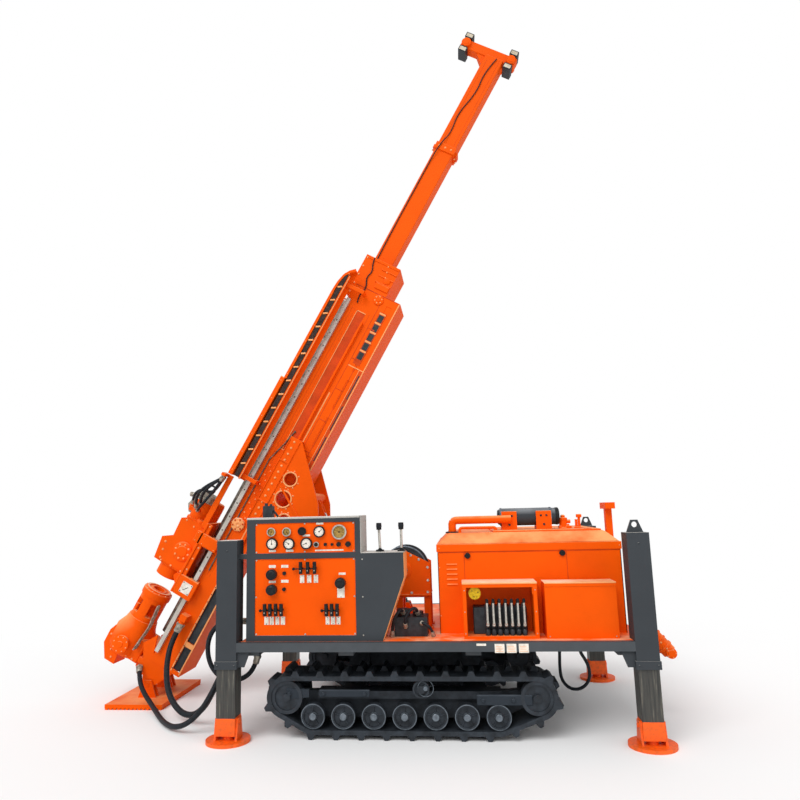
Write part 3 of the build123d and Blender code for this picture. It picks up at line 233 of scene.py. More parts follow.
# Deck: grey side rails round an orange floor plate
def deckFinish(name, floorHeight, railInside):
    material, tree = newMaterial(name)
    coords = addNode(tree, "ShaderNodeTexCoord").outputs["Object"]
    parts = addNode(tree, "ShaderNodeSeparateXYZ", links={0: coords}).outputs
    grit = addNode(tree, "ShaderNodeTexNoise", {"Scale": 5.0, "Detail": 8.0, "Roughness": 0.65},
                   {"Vector": coords}).outputs["Fac"]
    grey = mixColours(tree, rampNode(tree, grit, [(0.3, 0.0), (0.7, 1.0)]), linearColour("#3D4246"),
                      linearColour("#464B50"))
    orange = mixColours(tree, rampNode(tree, grit, [(0.45, 0.0), (0.68, 1.0)]), linearColour("#FF6A0C"),
                        linearColour("#FFC79C"))
    high = addNode(tree, "ShaderNodeMath", {"operation": "GREATER_THAN", 1: floorHeight},
                   {0: parts["Z"]}).outputs[0]
    across = addNode(tree, "ShaderNodeMath", {"operation": "ABSOLUTE"}, {0: parts["Y"]}).outputs[0]
    inside = addNode(tree, "ShaderNodeMath", {"operation": "LESS_THAN", 1: railInside},
                     {0: across}).outputs[0]
    floor = addNode(tree, "ShaderNodeMath", {"operation": "MULTIPLY"}, {0: high, 1: inside}).outputs[0]
    bump = addNode(tree, "ShaderNodeBump", {"Strength": 0.15, "Distance": 0.003}, {"Height": grit})
    shader = addNode(tree, "ShaderNodeBsdfPrincipled", {"Roughness": 0.5, "Specular IOR Level": 0.35},
                     {"Base Color": mixColours(tree, floor, grey, orange), "Normal": bump.outputs["Normal"]})
    addNode(tree, "ShaderNodeOutputMaterial", links={"Surface": shader.outputs[0]})
    materials[name] = material


deckFinish("deckPaint", 0.757, 1.055)  # floor height and half the width between the rails, in metres
print("finishes made:", len(materials))

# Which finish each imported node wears
nodeFinish = {
    "darkGreyPaint": ["jack_sleeves", "control_cabinet", "side_console"],
    "deckPaint": ["deck_frame"],
    "orangePaint": ["mast_beam", "mast_extension", "cradle", "mast_supports", "hose_tray", "head_carriage",
                    "head_gearbox", "foot_clamp", "foot_plate", "engine_hood", "valve_box", "toolbox",
                    "toolbox_lid", "winch_stand", "rod_tongs", "roof_fittings", "spindle"],
    "panelPaint": ["control_panels"],
    "dryTrackSteel": ["track_near", "track_far", "track_wheels", "track_frames", "car_frame"],
    "legSteel": ["jack_leg_front_near", "jack_leg_front_far", "jack_leg_rear_near", "jack_leg_rear_far"],
    "railSteel": ["guide_rails"],
    "scuffedSteel": ["feed_cylinder"],
    "castSteel": ["valve_levers"],
    "hardChrome": ["tilt_rod"],
    "oilyIron": ["engine_block", "valve_bank", "pump_block", "winch_drum", "tilt_barrel"],
    "cleanerPaint": ["air_cleaner"],
    "blackNylon": ["joysticks", "instruments", "panel_levers"],
    "chainNylon": ["hose_chain"],
    "lampGlass": ["head_lamps"],
}
for finishName, nodeNames in nodeFinish.items():
    for nodeName in nodeNames:
        mesh = nodes[nodeName].data
        if mesh.materials:
            for slotIndex in range(len(mesh.materials)):
                mesh.materials[slotIndex] = materials[finishName]
        else:
            mesh.materials.append(materials[finishName])

# Camera at the photograph's viewpoint
view = {"place": (0.9574, -6.5749, 1.7709), "yaw": 6.234, "pitch": 9.592, "roll": -1.44,
        "focal": 674.69, "centre": (381.797, 397.007), "frame": 800, "sensor": 36}


def makeCamera(facts):
    yaw, pitch, roll = (math.radians(facts[k]) for k in ("yaw", "pitch", "roll"))
    ahead = Vector((-math.sin(yaw) * math.cos(pitch), math.cos(yaw) * math.cos(pitch), math.sin(pitch)))
    right = Vector((math.cos(yaw), math.sin(yaw), 0))
    above = right.cross(ahead)
    side = right * math.cos(roll) + above * math.sin(roll)
    top = above * math.cos(roll) - right * math.sin(roll)
    data = bpy.data.cameras.new("photoCamera")
    size, sensor = facts["frame"], facts["sensor"]  # pixels and millimetres
    data.sensor_width = sensor
    data.lens = facts["focal"] / size * sensor
    data.shift_x = (size / 2 - facts["centre"][0]) / size
    data.shift_y = (facts["centre"][1] - size / 2) / size
    data.clip_end = 400
    obj = bpy.data.objects.new("photoCamera", data)
    bpy.context.scene.collection.objects.link(obj)
    turn = Matrix((side, top, -ahead)).transposed()
    obj.matrix_world = Matrix.Translation(facts["place"]) @ turn.to_4x4()
    bpy.context.scene.camera = obj


makeCamera(view)

# Hoses: the route's points are the control points of one smooth line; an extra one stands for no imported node
mastAngle = math.radians(mastFoot["lean"])


def onMast(s, n, w):
    footX = frontJack - mastFoot["back"]
    x = footX + (s * math.cos(mastAngle) - n * math.sin(mastAngle)) / 1000
    return (x, mastFoot["across"] - w / 1000, (s * math.sin(mastAngle) + n * math.cos(mastAngle)) / 1000)


def fromJack(x, y, z):
    return (frontJack + x / 1000, y / 1000, z / 1000)


hoses = {
    "hose_a": {"body": "chassis", "diameter": 0.052, "lay": "hanging", "points": [fromJack(*p) for p in (
        (-834, -5, 743), (-888, -12, 645), (-915, -80, 520), (-890, -190, 390), (-835, -305, 275),
        (-765, -400, 185), (-670, -485, 112), (-560, -565, 70), (-435, -635, 82), (-325, -685, 165),
        (-245, -708, 300), (-170, -712, 445), (-75, -707, 585), (75, -705, 668))]},
    "hose_b": {"body": "chassis", "diameter": 0.044, "lay": "loose", "points": [fromJack(*p) for p in (
        (-1276, 60, 328), (-1215, -64, 236), (-1125, -160, 150), (-1010, -262, 88), (-890, -400, 48),
        (-770, -560, 30), (-660, -700, 30), (-545, -815, 38), (-415, -880, 75), (-295, -884, 170),
        (-210, -872, 300), (-140, -855, 440), (-55, -847, 580), (75, -845, 668))]},
    "hose_c": {"body": "chassis", "diameter": 0.040, "lay": "hanging", "points": [fromJack(*p) for p in (
        (102, -800, 880), (0, -800, 884), (-110, -800, 880), (-205, -800, 835), (-262, -800, 735),
        (-266, -799, 610), (-225, -797, 500), (-145, -794, 425), (-40, -790, 398), (70, -786, 430),
        (140, -782, 510), (165, -780, 602))]},
    "rear_hose": {"body": "chassis", "diameter": 0.026, "lay": "hanging", "points": [fromJack(*p) for p in (
        (2800, -750, 702), (2810, -748, 620), (2860, -738, 545), (2888, -710, 460), (2880, -670, 370),
        (2820, -620, 300), (2740, -570, 290), (2682, -529, 350), (2676, -513, 450), (2684, -507, 560),
        (2690, -505, 702))]},
    "head_hose_side": {"body": "head", "diameter": 0.026, "lay": "loose", "points": [onMast(*p) for p in (
        (2220, 417, 350), (2120, 422, 352), (2010, 445, 348), (1900, 480, 318), (1820, 520, 245),
        (1782, 552, 150))]},
    "head_hose_loop": {"body": "head", "diameter": 0.026, "lay": "loose", "points": [onMast(*p) for p in (
        (2220, 417, 310), (2130, 424, 308), (2050, 455, 270), (2010, 520, 205), (1995, 600, 140),
        (1950, 672, 90), (1872, 700, 56), (1790, 676, 28))]},
    "arm_hose_upper": {"body": "head", "diameter": 0.030, "lay": "loose", "extra": True,
                       "points": [onMast(*p) for p in (
        (2235, 418, 332), (2180, 440, 338), (2090, 500, 322), (1990, 548, 268), (1900, 566, 180),
        (1840, 575, 100))]},
    "arm_hose_lower": {"body": "head", "diameter": 0.030, "lay": "loose", "extra": True,
                       "points": [onMast(*p) for p in (
        (2235, 418, 292), (2160, 470, 300), (2060, 545, 290), (1960, 606, 225), (1870, 622, 150),
        (1790, 600, 90))]},
    "pump_hose_left": {"body": "chassis", "diameter": 0.026, "lay": "hanging", "extra": True,
                       "points": [fromJack(*p) for p in (
        (1402, -804, 935), (1402, -850, 968), (1372, -892, 965), (1332, -905, 900), (1318, -890, 830),
        (1316, -880, 768))]},
    "pump_hose_middle": {"body": "chassis", "diameter": 0.026, "lay": "hanging", "extra": True,
                         "points": [fromJack(*p) for p in (
        (1522, -794, 928), (1522, -850, 975), (1482, -898, 988), (1432, -908, 930), (1424, -890, 868),
        (1424, -860, 836))]},
    "pump_hose_right": {"body": "chassis", "diameter": 0.024, "lay": "hanging", "extra": True,
                        "points": [fromJack(*p) for p in (
        (1556, -860, 862), (1560, -900, 876), (1600, -920, 862), (1640, -906, 820), (1650, -884, 768))]},
    "top_cable": {"body": "extension", "diameter": 0.011, "lay": "loose", "extra": True,
                  "points": [onMast(*p) for p in (
        (4960, 165, 110), (5300, 172, 110), (5800, 171, 109), (6200, 172, 110), (6320, 165, 128),
        (6430, 150, 126), (6560, 118, 110), (6800, 152, 110), (7100, 80, 110), (7350, 112, 110),
        (7540, 60, 112))]},
    "crown_cable": {"body": "mast", "diameter": 0.012, "lay": "loose", "extra": True,
                    "points": [onMast(*p) for p in (
        (4925, 160, 227), (4860, 152, 229), (4780, 110, 228), (4700, 142, 228), (4600, 84, 228),
        (4500, 122, 228), (4420, 96, 228))]},
}


def smoothLine(name, points):
    data = bpy.data.curves.new(name, "CURVE")
    data.dimensions = "3D"
    spline = data.splines.new("NURBS")
    spline.points.add(len(points) - 1)
    for point, place in zip(spline.points, points):
        point.co = (*place, 1.0)
    spline.order_u = 3
    spline.use_endpoint_u = True
    spline.resolution_u = 12
    obj = bpy.data.objects.new(name, data)
    bpy.context.scene.collection.objects.link(obj)
    return obj


def lineLength(curve):
    mesh = bpy.data.meshes.new_from_object(curve)
    places = [v.co.copy() for v in mesh.vertices]
    bpy.data.meshes.remove(mesh)
    return sum((b - a).length for a, b in zip(places, places[1:]))


for hoseName, facts in hoses.items():
    curve = smoothLine(hoseName + "_line", facts["points"])
    bpy.context.view_layer.update()
    length = lineLength(curve)
    curve.data.bevel_depth = facts["diameter"] / 2
    curve.data.bevel_resolution = 5
    curve.data.use_fill_caps = True
    curve.data.materials.append(materials["blackRubber"])
    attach(curve, facts["body"])
    if not facts.get("extra"):
        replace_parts(curve, hoseName)
    print("hose", hoseName, round(length, 3))

# Two working frames in millimetres: the machine from its front jacks, and the mast up, out and across
chassisFrame = Matrix.Translation((frontJack, 0, 0)) @ Matrix.Diagonal((0.001, 0.001, 0.001, 1))
upCos, upSin = math.cos(mastAngle), math.sin(mastAngle)
mastFrame = Matrix(((upCos, -upSin, 0, frontJack - mastFoot["back"]), (0, 0, -1, mastFoot["across"]),
                    (upSin, upCos, 0, 0), (0, 0, 0, 1))) @ Matrix.Diagonal((0.001, 0.001, 0.001, 1))
frameOf = {"chassis": chassisFrame, "winch_drum": chassisFrame, "toolbox_lid": chassisFrame,
           "mast": mastFrame, "head": mastFrame, "extension": mastFrame, "cradle": mastFrame}
axisTurn = {"x": Vector((1, 0, 0)), "y": Vector((0, 1, 0)), "z": Vector((0, 0, 1))}


def addBlock(bm, low, high, soften=1.5):
    made = bmesh.ops.create_cube(bm, size=1)["verts"]
    size = [b - a for a, b in zip(low, high)]
    for vert in made:
        vert.co = Vector([a + (c + 0.5) * s for a, c, s in zip(low, vert.co, size)])
    # each edge once, always in the same order
    edges = list(dict.fromkeys(edge for vert in made for edge in vert.link_edges))
    bmesh.ops.bevel(bm, geom=edges, offset=min(soften, min(size) * 0.3), segments=1, affect="EDGES")


def addRound(bm, centre, axis, profile, sides=20):
    # turned shape: profile rows are radius and distance along the axis
    aim = (axisTurn[axis] if isinstance(axis, str) else Vector(axis)).normalized()
    turn = Vector((0, 0, 1)).rotation_difference(aim).to_matrix()
    closed = profile[0] == profile[-1]
    rings = []
    for radius, along in profile[:-1] if closed else profile:
        if radius < 0.001:
            rings.append([bm.verts.new(Vector(centre) + turn @ Vector((0, 0, along)))])
            continue
        rings.append([bm.verts.new(Vector(centre) + turn @ Vector((
            radius * math.cos(2 * math.pi * i / sides), radius * math.sin(2 * math.pi * i / sides), along)))
            for i in range(sides)])
    for first, second in zip(rings, rings[1:] + rings[:1] if closed else rings[1:]):
        for i in range(sides):
            j = (i + 1) % sides
            corners = [first[i % len(first)], first[j % len(first)], second[j % len(second)],
                       second[i % len(second)]]
            corners = list(dict.fromkeys(corners))
            if len(corners) > 2:
                bm.faces.new(corners)
    for ring in (rings[0], rings[-1]):
        if len(ring) > 1 and not closed:
            bm.faces.new(ring)


def addRod(bm, start, end, radius, sides=12):
    length = (Vector(end) - Vector(start)).length
    addRound(bm, start, Vector(end) - Vector(start), [(radius * 0.9, 0), (radius, radius * 0.1),
             (radius, length - radius * 0.1), (radius * 0.9, length)], sides)


def addPrism(bm, outline, axis, low, high):
    # outline in the two axes left over, in the order x, y, z
    def place(a, b, c):
        return {"x": (c, a, b), "y": (a, c, b), "z": (a, b, c)}[axis]
    lower = [bm.verts.new(place(a, b, low)) for a, b in outline]
    upper = [bm.verts.new(place(a, b, high)) for a, b in outline]
    bm.faces.new(lower)
    bm.faces.new(upper)
    for i in range(len(outline)):
        j = (i + 1) % len(outline)
        bm.faces.new((lower[i], lower[j], upper[j], upper[i]))


def addRing(bm, centre, axis, major, minor, sides=28, tube=8):
    aim = (axisTurn[axis] if isinstance(axis, str) else Vector(axis)).normalized()
    turn = Vector((0, 0, 1)).rotation_difference(aim).to_matrix()
    rows = []
    for i in range(sides):
        a = 2 * math.pi * i / sides
        rows.append([bm.verts.new(Vector(centre) + turn @ Vector((
            (major + minor * math.cos(b)) * math.cos(a), (major + minor * math.cos(b)) * math.sin(a),
            minor * math.sin(b)))) for b in [2 * math.pi * k / tube for k in range(tube)]])
    for i in range(sides):
        for k in range(tube):
            bm.faces.new((rows[i][k], rows[(i + 1) % sides][k], rows[(i + 1) % sides][(k + 1) % tube],
                          rows[i][(k + 1) % tube]))


sharpAngle = 0.6  # radians: edges that turn by more stay sharp
makers = {"block": addBlock, "round": addRound, "rod": addRod, "prism": addPrism, "ring": addRing}


def shapeMesh(name, shapes, turn):
    bm = bmesh.new()
    for kind, *facts in shapes:
        makers[kind](bm, *facts)
    bmesh.ops.recalc_face_normals(bm, faces=bm.faces)
    bm.transform(turn)
    for face in bm.faces:
        face.smooth = True
    for edge in bm.edges:
        edge.smooth = edge.calc_face_angle(0) < sharpAngle
    return meshObject(name, bm)


def makePiece(name, body, finish, shapes, turn=None):
    obj = shapeMesh(name, shapes, turn or frameOf[body])
    obj.data.materials.append(materials[finish])
    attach(obj, body)
    return obj


def makePieceReplacing(name, body, finish, shapes, *replaced):
    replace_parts(makePiece(name, body, finish, shapes), *replaced)


def sideBlock(side, s0, s1, n0, n1, inner, outer, soften=0):
    # block on one side of the mast, between two distances from its middle plane
    w0, w1 = sorted((side * inner, side * outer))
    return ("block", (s0, n0, w0), (s1, n1, w1), soften)


def makeRepeatTree():
    # puts a small pattern piece on every point, along the point's aim, at the point's size
    tree = bpy.data.node_groups.new("repeatOnPoints", "GeometryNodeTree")
    for label, kind in (("Points", "NodeSocketGeometry"), ("Pattern piece", "NodeSocketObject"),
                        ("Piece size", "NodeSocketFloat"), ("Spin", "NodeSocketFloat"),
                        ("Finish", "NodeSocketMaterial")):
        tree.interface.new_socket(label, in_out="INPUT", socket_type=kind)
    tree.interface.new_socket("Mesh", in_out="OUTPUT", socket_type="NodeSocketGeometry")
    given = tree.nodes.new("NodeGroupInput").outputs
    aim = addNode(tree, "GeometryNodeInputNamedAttribute", {"data_type": "FLOAT_VECTOR", "Name": "aim"})
    size = addNode(tree, "GeometryNodeInputNamedAttribute", {"data_type": "FLOAT", "Name": "size"})
    lined = addNode(tree, "FunctionNodeAlignRotationToVector", {"axis": "Z"}, {"Vector": aim.outputs[0]})
    angle = addNode(tree, "FunctionNodeRandomValue", {"data_type": "FLOAT", "Seed": 7}, {3: given["Spin"]})
    twist = addNode(tree, "FunctionNodeAxisAngleToRotation", {"Axis": (0, 0, 1)}, {"Angle": angle.outputs[1]})
    turned = addNode(tree, "FunctionNodeRotateRotation", {"rotation_space": "LOCAL"},
                     {"Rotation": lined.outputs[0], "Rotate By": twist.outputs[0]})
    scale = addNode(tree, "ShaderNodeMath", {"operation": "MULTIPLY"},
                    {0: size.outputs[0], 1: given["Piece size"]})
    pattern = addNode(tree, "GeometryNodeObjectInfo", links={"Object": given["Pattern piece"]})
    spread = addNode(tree, "GeometryNodeInstanceOnPoints", links={
        "Points": given["Points"], "Instance": pattern.outputs["Geometry"], "Rotation": turned.outputs[0],
        "Scale": scale.outputs[0]})
    solid = addNode(tree, "GeometryNodeRealizeInstances", links={"Geometry": spread.outputs[0]})
    painted = addNode(tree, "GeometryNodeSetMaterial",
                      links={"Geometry": solid.outputs[0], "Material": given["Finish"]})
    addNode(tree, "NodeGroupOutput", links={0: painted.outputs[0]})
    return tree


repeatTree = makeRepeatTree()
socketOf = {item.name: item.identifier for item in repeatTree.interface.items_tree if item.in_out == "INPUT"}


def repeatPiece(name, body, finish, shapes, spots, size=1.0, spin=0.0):
    # spots are rows of place, aim and size, in the body's working frame
    turn = frameOf[body]
    mesh = bpy.data.meshes.new(name + "Points")
    mesh.from_pydata([turn @ Vector(place) for place, aim, scale in spots], [], [])
    mesh.attributes.new("aim", "FLOAT_VECTOR", "POINT")
    mesh.attributes.new("size", "FLOAT", "POINT")
    for i, (place, aim, scale) in enumerate(spots):
        mesh.attributes["aim"].data[i].vector = (turn.to_3x3() @ Vector(aim)).normalized()
        mesh.attributes["size"].data[i].value = scale
    carrier = bpy.data.objects.new(name + "Points", mesh)
    bpy.context.scene.collection.objects.link(carrier)
    pattern = shapeMesh(name + "Pattern", shapes, Matrix.Diagonal((0.001, 0.001, 0.001, 1)))
    modifier = carrier.modifiers.new("repeat", "NODES")
    modifier.node_group = repeatTree
    modifier[socketOf["Pattern piece"]] = pattern
    modifier[socketOf["Piece size"]] = size
    modifier[socketOf["Spin"]] = spin
    modifier[socketOf["Finish"]] = materials[finish]
    bpy.context.view_layer.update()
    solid = bpy.data.meshes.new_from_object(carrier.evaluated_get(bpy.context.evaluated_depsgraph_get()))
    for used in (carrier, pattern):
        bpy.data.objects.remove(used)
    obj = bpy.data.objects.new(name, solid)
    bpy.context.scene.collection.objects.link(obj)
    if not solid.materials:
        solid.materials.append(materials[finish])
    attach(obj, body)


# Crimped ends on both ends of every hose, but not on the two thin cables
ferrule = {"grip": 1.34, "length": 3.4, "thinnest": 0.02}
for bodyName in ("chassis", "head"):
    ends = []
    for facts in hoses.values():
        radius = facts["diameter"] / 2
        if facts["body"] != bodyName or facts["diameter"] < ferrule["thinnest"]:
            continue
        for near, far in ((0, 1), (-1, -2)):
            start, towards = Vector(facts["points"][near]), Vector(facts["points"][far])
            wide, long = radius * ferrule["grip"], radius * ferrule["length"]
            ends += [("round", start, towards - start,
                      [(wide * 0.9, 0), (wide, long * 0.08), (wide, long * 0.9), (wide * 0.88, long)], 16),
                     ("round", start, towards - start, [(wide * 1.2, 0), (wide * 1.2, long * 0.28)], 6)]
    makePiece(bodyName + "Ferrules", bodyName, "castSteel", ends, Matrix.Identity(4))

# Small patterns: heads stand on z = 0 and rise along the aim
hexBolt = [("round", (0, 0, -1), "z", [(13, 0), (13, 3), (11, 3.4)], 12),
           ("round", (0, 0, 2), "z", [(10, 0), (10, 7), (8, 9)], 6)]
panScrew = [("round", (0, 0, -1), "z", [(7, 0), (7, 3), (5, 5), (2, 5.4)], 10)]
capScrew = [("round", (0, 0, -1), "z", [(9, 0), (9, 8), (7.5, 9.5), (4.5, 9.5), (4.5, 5)], 12)]


def rowOf(start, end, count, aim, size=1.0):
    a, b = Vector(start), Vector(end)
    return [(tuple(a.lerp(b, i / max(count - 1, 1))), aim, size) for i in range(count)]


def circleOf(centre, axis, radius, count, size=1.0, first=0.0):
    aim = Vector(axis).normalized()
    turn = Vector((0, 0, 1)).rotation_difference(aim).to_matrix()
    return [(tuple(Vector(centre) + turn @ Vector((radius * math.cos(a), radius * math.sin(a), 0))),
             tuple(aim), size)
            for a in [first + 2 * math.pi * i / count for i in range(count)]]


# Control cabinet: screws, dials, tags and lever links on the two panels, x from the front jack
panelFace = -1042
cabinetTrim = {
    "screws": [(226, 1683), (632, 1685), (1036, 1683), (226, 1460), (632, 1460), (1036, 1460), (228, 1396),
               (632, 1397), (1036, 1396), (226, 1104), (1036, 1104), (228, 816), (632, 814), (1036, 816)],
    "dials": [(756, 1618, 47, 26, "dialWhite"), (361, 1527, 47, 26, "dialWhite"),
              (503, 1525, 47, 26, "dialWhite"), (648, 1526, 47, 26, "dialWhite"),
              (355, 1622, 34, 22, "brassFitting"), (484, 1621, 34, 22, "brassFitting"),
              (922, 1612, 58, 30, "brassFitting")],
    "brightRims": [(355, 1622, 34, 22), (484, 1621, 34, 22), (922, 1612, 58, 30), (733, 1516, 20, 34)],
    "labels": [(361, 1470, 58, 18), (506, 1470, 62, 18), (758, 1683, 60, 16), (646, 1589, 62, 16),
               (361, 1346, 58, 22), (465, 1346, 58, 22), (361, 1224, 58, 18), (465, 1228, 62, 22),
               (938, 1281, 56, 18), (835, 1468, 235, 12)],
    "tags": [(609, 1244, 36, 62), (667, 1244, 36, 62), (723, 1244, 36, 62), (314, 920, 36, 62),
             (357, 920, 36, 62), (404, 920, 32, 62), (449, 920, 36, 62), (815, 918, 32, 60),
             (859, 918, 36, 60), (903, 918, 32, 60), (926, 1140, 60, 92)],
    "links": [(545, 733, 1326), (270, 455, 1002), (775, 910, 998)],
    "pivots": [(609, 1330), (667, 1330), (723, 1330), (314, 1006), (357, 1006), (404, 1006), (449, 1006),
               (815, 1002), (859, 1002), (903, 1002)],
    "turnKnobs": [(361, 1283), (361, 1163)], "pushKnob": (926, 1210),
}


def makeCabinetTrim(facts):
    out = (0, -1, 0)
    repeatPiece("panelScrews", "chassis", "bezelSteel", panScrew,
                [((x, panelFace, z), out, 1.05) for x, z in facts["screws"]])
    for finish in ("dialWhite", "brassFitting"):
        makePiece("dialFaces_" + finish, "chassis", finish, [
            ("round", (x, panelFace - depth + 7, z), "y",
             [(radius * 0.79, 0), (radius * 0.79, -2), (radius * 0.74, -2.6)])
            for x, z, radius, depth, kind in facts["dials"] if kind == finish])
    ticks = []
    for x, z, radius, depth, kind in facts["dials"]:
        for i in range(9):
            angle = math.radians(-45 + 33.75 * i)
            ticks.append(((x + radius * 0.60 * math.cos(angle), panelFace - depth + 4.6,
                           z + radius * 0.60 * math.sin(angle)),
                          (math.cos(angle), 0, math.sin(angle)), radius / 47))
    repeatPiece("dialTicks", "chassis", "blackNylon",
                [("block", (-1.2, -0.6, -3.5), (1.2, 0.6, 3.5), 0.3)], ticks)
    needles = []
    for i, (x, z, radius, depth, kind) in enumerate(facts["dials"]):
        angle = math.radians(40 + 53 * i)
        y = panelFace - depth + 3.6
        needles += [("rod", (x, y, z),
                     (x + radius * 0.62 * math.cos(angle), y, z + radius * 0.62 * math.sin(angle)), 1.8, 6),
                    ("round", (x, y + 1, z), "y",
                     [(radius * 0.12, 0), (radius * 0.12, -3), (radius * 0.07, -4)], 12)]
    makePiece("dialNeedles", "chassis", "blackNylon", needles)
    makePiece("brightRims", "chassis", "bezelSteel", [
        ("round", (x, panelFace - depth + 4, z), "y",
         [(radius + 3, 0), (radius + 3, -4), (radius, -7), (radius * 0.84, -7), (radius * 0.80, -3),
          (radius + 3, 0)], 28) for x, z, radius, depth in facts["brightRims"]])
    makePiece("panelLabels", "chassis", "plateWhite", [
        ("block", (x - wide / 2, panelFace - 2, z - high / 2),
         (x + wide / 2, panelFace + 1, z + high / 2), 0.6)
        for x, z, wide, high in facts["labels"] + facts["tags"]])
    rivets = []
    for x, z, wide, high in facts["tags"]:
        rivets += [((x, panelFace - 1.6, z + high / 2 - 6), out, 0.5),
                   ((x, panelFace - 1.6, z - high / 2 + 6), out, 0.5)]
    repeatPiece("tagRivets", "chassis", "blackNylon", panScrew, rivets)
    makePiece("leverLinks", "chassis", "blackNylon",
              [shape for x0, x1, z in facts["links"]
               for shape in (("rod", (x0, panelFace - 30, z), (x1, panelFace - 30, z), 5),
                             ("round", (x0, panelFace - 30, z), "x",
                              [(4, -12), (11, -6), (13, 0), (11, 6), (4, 12)], 12),
                              ("rod", (x0 + 12, panelFace - 30, z), (x0 + 12, panelFace, z), 5))])
    repeatPiece("leverPivots", "chassis", "bezelSteel", capScrew, [
        ((x, panelFace - 70, z - 16), out, 0.55) for x, z in facts["pivots"]])
    makePiece("knobSpots", "chassis", "yellowPlastic", [
        ("round", (x - 16, panelFace - 45, z - 14), "y", [(9, 0), (9, -2), (7, -4)], 14)
        for x, z in facts["turnKnobs"]])
    makePiece("knobCaps", "chassis", "blackNylon", [
        ("round", (x, panelFace - 44, z), "y", [(34, 0), (34, -3), (26, -9), (20, -9.5)], 22)
        for x, z in facts["turnKnobs"] + [facts["pushKnob"]]] + [
        ("rod", (318, panelFace - 38, 1160), (340, panelFace - 38, 1163), 5),
        ("rod", (318, panelFace - 38, 1280), (340, panelFace - 38, 1283), 5)])
    # a rounded lip round the top, pale grey as painted highlight on the lit top edge
    makePiece("cabinetLip", "chassis", "greyHighlightPaint", [
        ("block", (145, -1054, 1724), (1095, -1044, 1741), 3),
        ("block", (1085, -1054, 1724), (1097, -712, 1741), 3),
        ("block", (1092, -722, 770), (1098, -708, 1738), 2),
        ("block", (1091, -1050, 1442), (1096, -716, 1736), 1)])
    repeatPiece("cabinetSideScrews", "chassis", "bezelSteel", panScrew,
                rowOf((1096, -1010, 1690), (1096, -750, 1690), 3, (1, 0, 0))
                + rowOf((1096, -1010, 1480), (1096, -750, 1480), 3, (1, 0, 0))
                + rowOf((1104, -1049.5, 1392), (1104, -1049.5, 806), 3, (0, -1, 0), 0.9))


makeCabinetTrim(cabinetTrim)
print("cabinet trimmed")

# Side console: pale plates on its sloping side and top as painted highlight, stick sleeves and boots
consoleTrim = {"x0": 1093, "x1": 1438, "foot": 1258, "top": 1440, "front": -1050, "back": -760}


def makeConsoleTrim(facts):
    x1, top, front, back = facts["x1"], facts["top"], facts["front"], facts["back"]
    makePiece("consoleEdge", "chassis", "paleHighlightPaint", [
        ("block", (x1, front + 2, top - 192), (x1 + 4, back - 4, top - 2), 1),
        ("prism", [(facts["foot"] + 1, 764), (x1 + 1, top - 191), (x1 + 5, top - 191),
                   (facts["foot"] + 5, 764)], "y", front + 2, back - 4)])
    sticks = []
    boots = []
    for x, lean in ((facts["x0"] + 145, -6), (facts["x0"] + 322, 0)):
        sticks.append(("rod", (x, front + 120, top + 24), (x + lean, front + 120, top + 184), 10.5))
        sticks.append(("round", (x, front + 120, top), "z", [(38, 0), (38, 4), (34, 6)], 24))
        boots.append(("round", (x, front + 120, top + 5), "z",
                      [(30, 0), (31, 3), (24, 7), (26, 10), (18, 14), (20, 17), (12, 21), (12, 26)], 20))
        boots.append(("round", (x + lean, front + 120, top + 178), "z",
                      [(12, 0), (20, 8), (23, 30), (22, 48), (14, 56), (0, 58)], 18))
    makePiece("stickSleeves", "chassis", "bezelSteel", sticks)
    makePiece("stickBoots", "chassis", "blackRubber", boots)
    makePiece("consoleTopPlate", "chassis", "greyHighlightPaint", [
        ("block", (facts["x0"] + 2, front + 1, top), (x1 - 2, back - 2, top + 3), 1)])


makeConsoleTrim(consoleTrim)

# Winch: bolts round its plates, rope in the drum's grooves, rubbed flange rims and shaft caps
winchTrim = {"x": 1395, "y": -330, "z": 1255, "half": 156, "ropePitch": 13}


def makeWinchTrim(facts):
    x, y, z = facts["x"], facts["y"], facts["z"]
    bolts = []
    for side in (-1, 1):
        face = y + side * facts["half"]
        for dx, dz in ((-62, 66), (-50, 20), (-62, -40), (-62, -120), (-60, -190), (200, -190), (205, 20),
                       (60, -195), (60, 125), (130, 88), (205, -90)):
            bolts.append(((x + dx, face, z + dz), (0, side, 0), 0.9))
        bolts += circleOf((x, face, z), (0, side, 0), 52, 6, 0.6)
    repeatPiece("winchBolts", "chassis", "bezelSteel", hexBolt, bolts, spin=1.0)
    start, stop = y - 118, y + 118
    rows = int((stop - start) / facts["ropePitch"])
    profile = [(108, start)]
    for i in range(rows):
        at = start + i * facts["ropePitch"]
        profile += [(121, at + 2), (124, at + facts["ropePitch"] / 2), (121, at + facts["ropePitch"] - 2),
                    (117, at + facts["ropePitch"])]
    profile.append((108, stop))
    makePiece("winchRope", "winch_drum", "castSteel", [
        ("round", (x, 0, z), "y", profile, 32)])
    makePiece("drumRims", "winch_drum", "wheelRimSteel", [
        ("round", (x, y + side * 138, z), "y",
         [(203, -5), (207, -3), (207, 3), (203, 5), (196, 5), (196, -5), (203, -5)], 40) for side in (-1, 1)])
    makePiece("shaftCaps", "winch_drum", "scuffedSteel", [
        ("round", (x, y + side * 164, z), (0, side, 0), [(30, 0), (30, 5), (20, 9), (0, 9)], 20)
        for side in (-1, 1)])


makeWinchTrim(winchTrim)
print("console and winch trimmed")

# Engine hood: latches, seams and the painted shadow under the lid's lip, screws, louvre shade, roof cleats and
# what holds the air cleaner
hoodTrim = {"x0": 1700, "x1": 3200, "half": 730, "lid": 1418,
            "latches": [(1951, 1384), (2729, 1394)]}


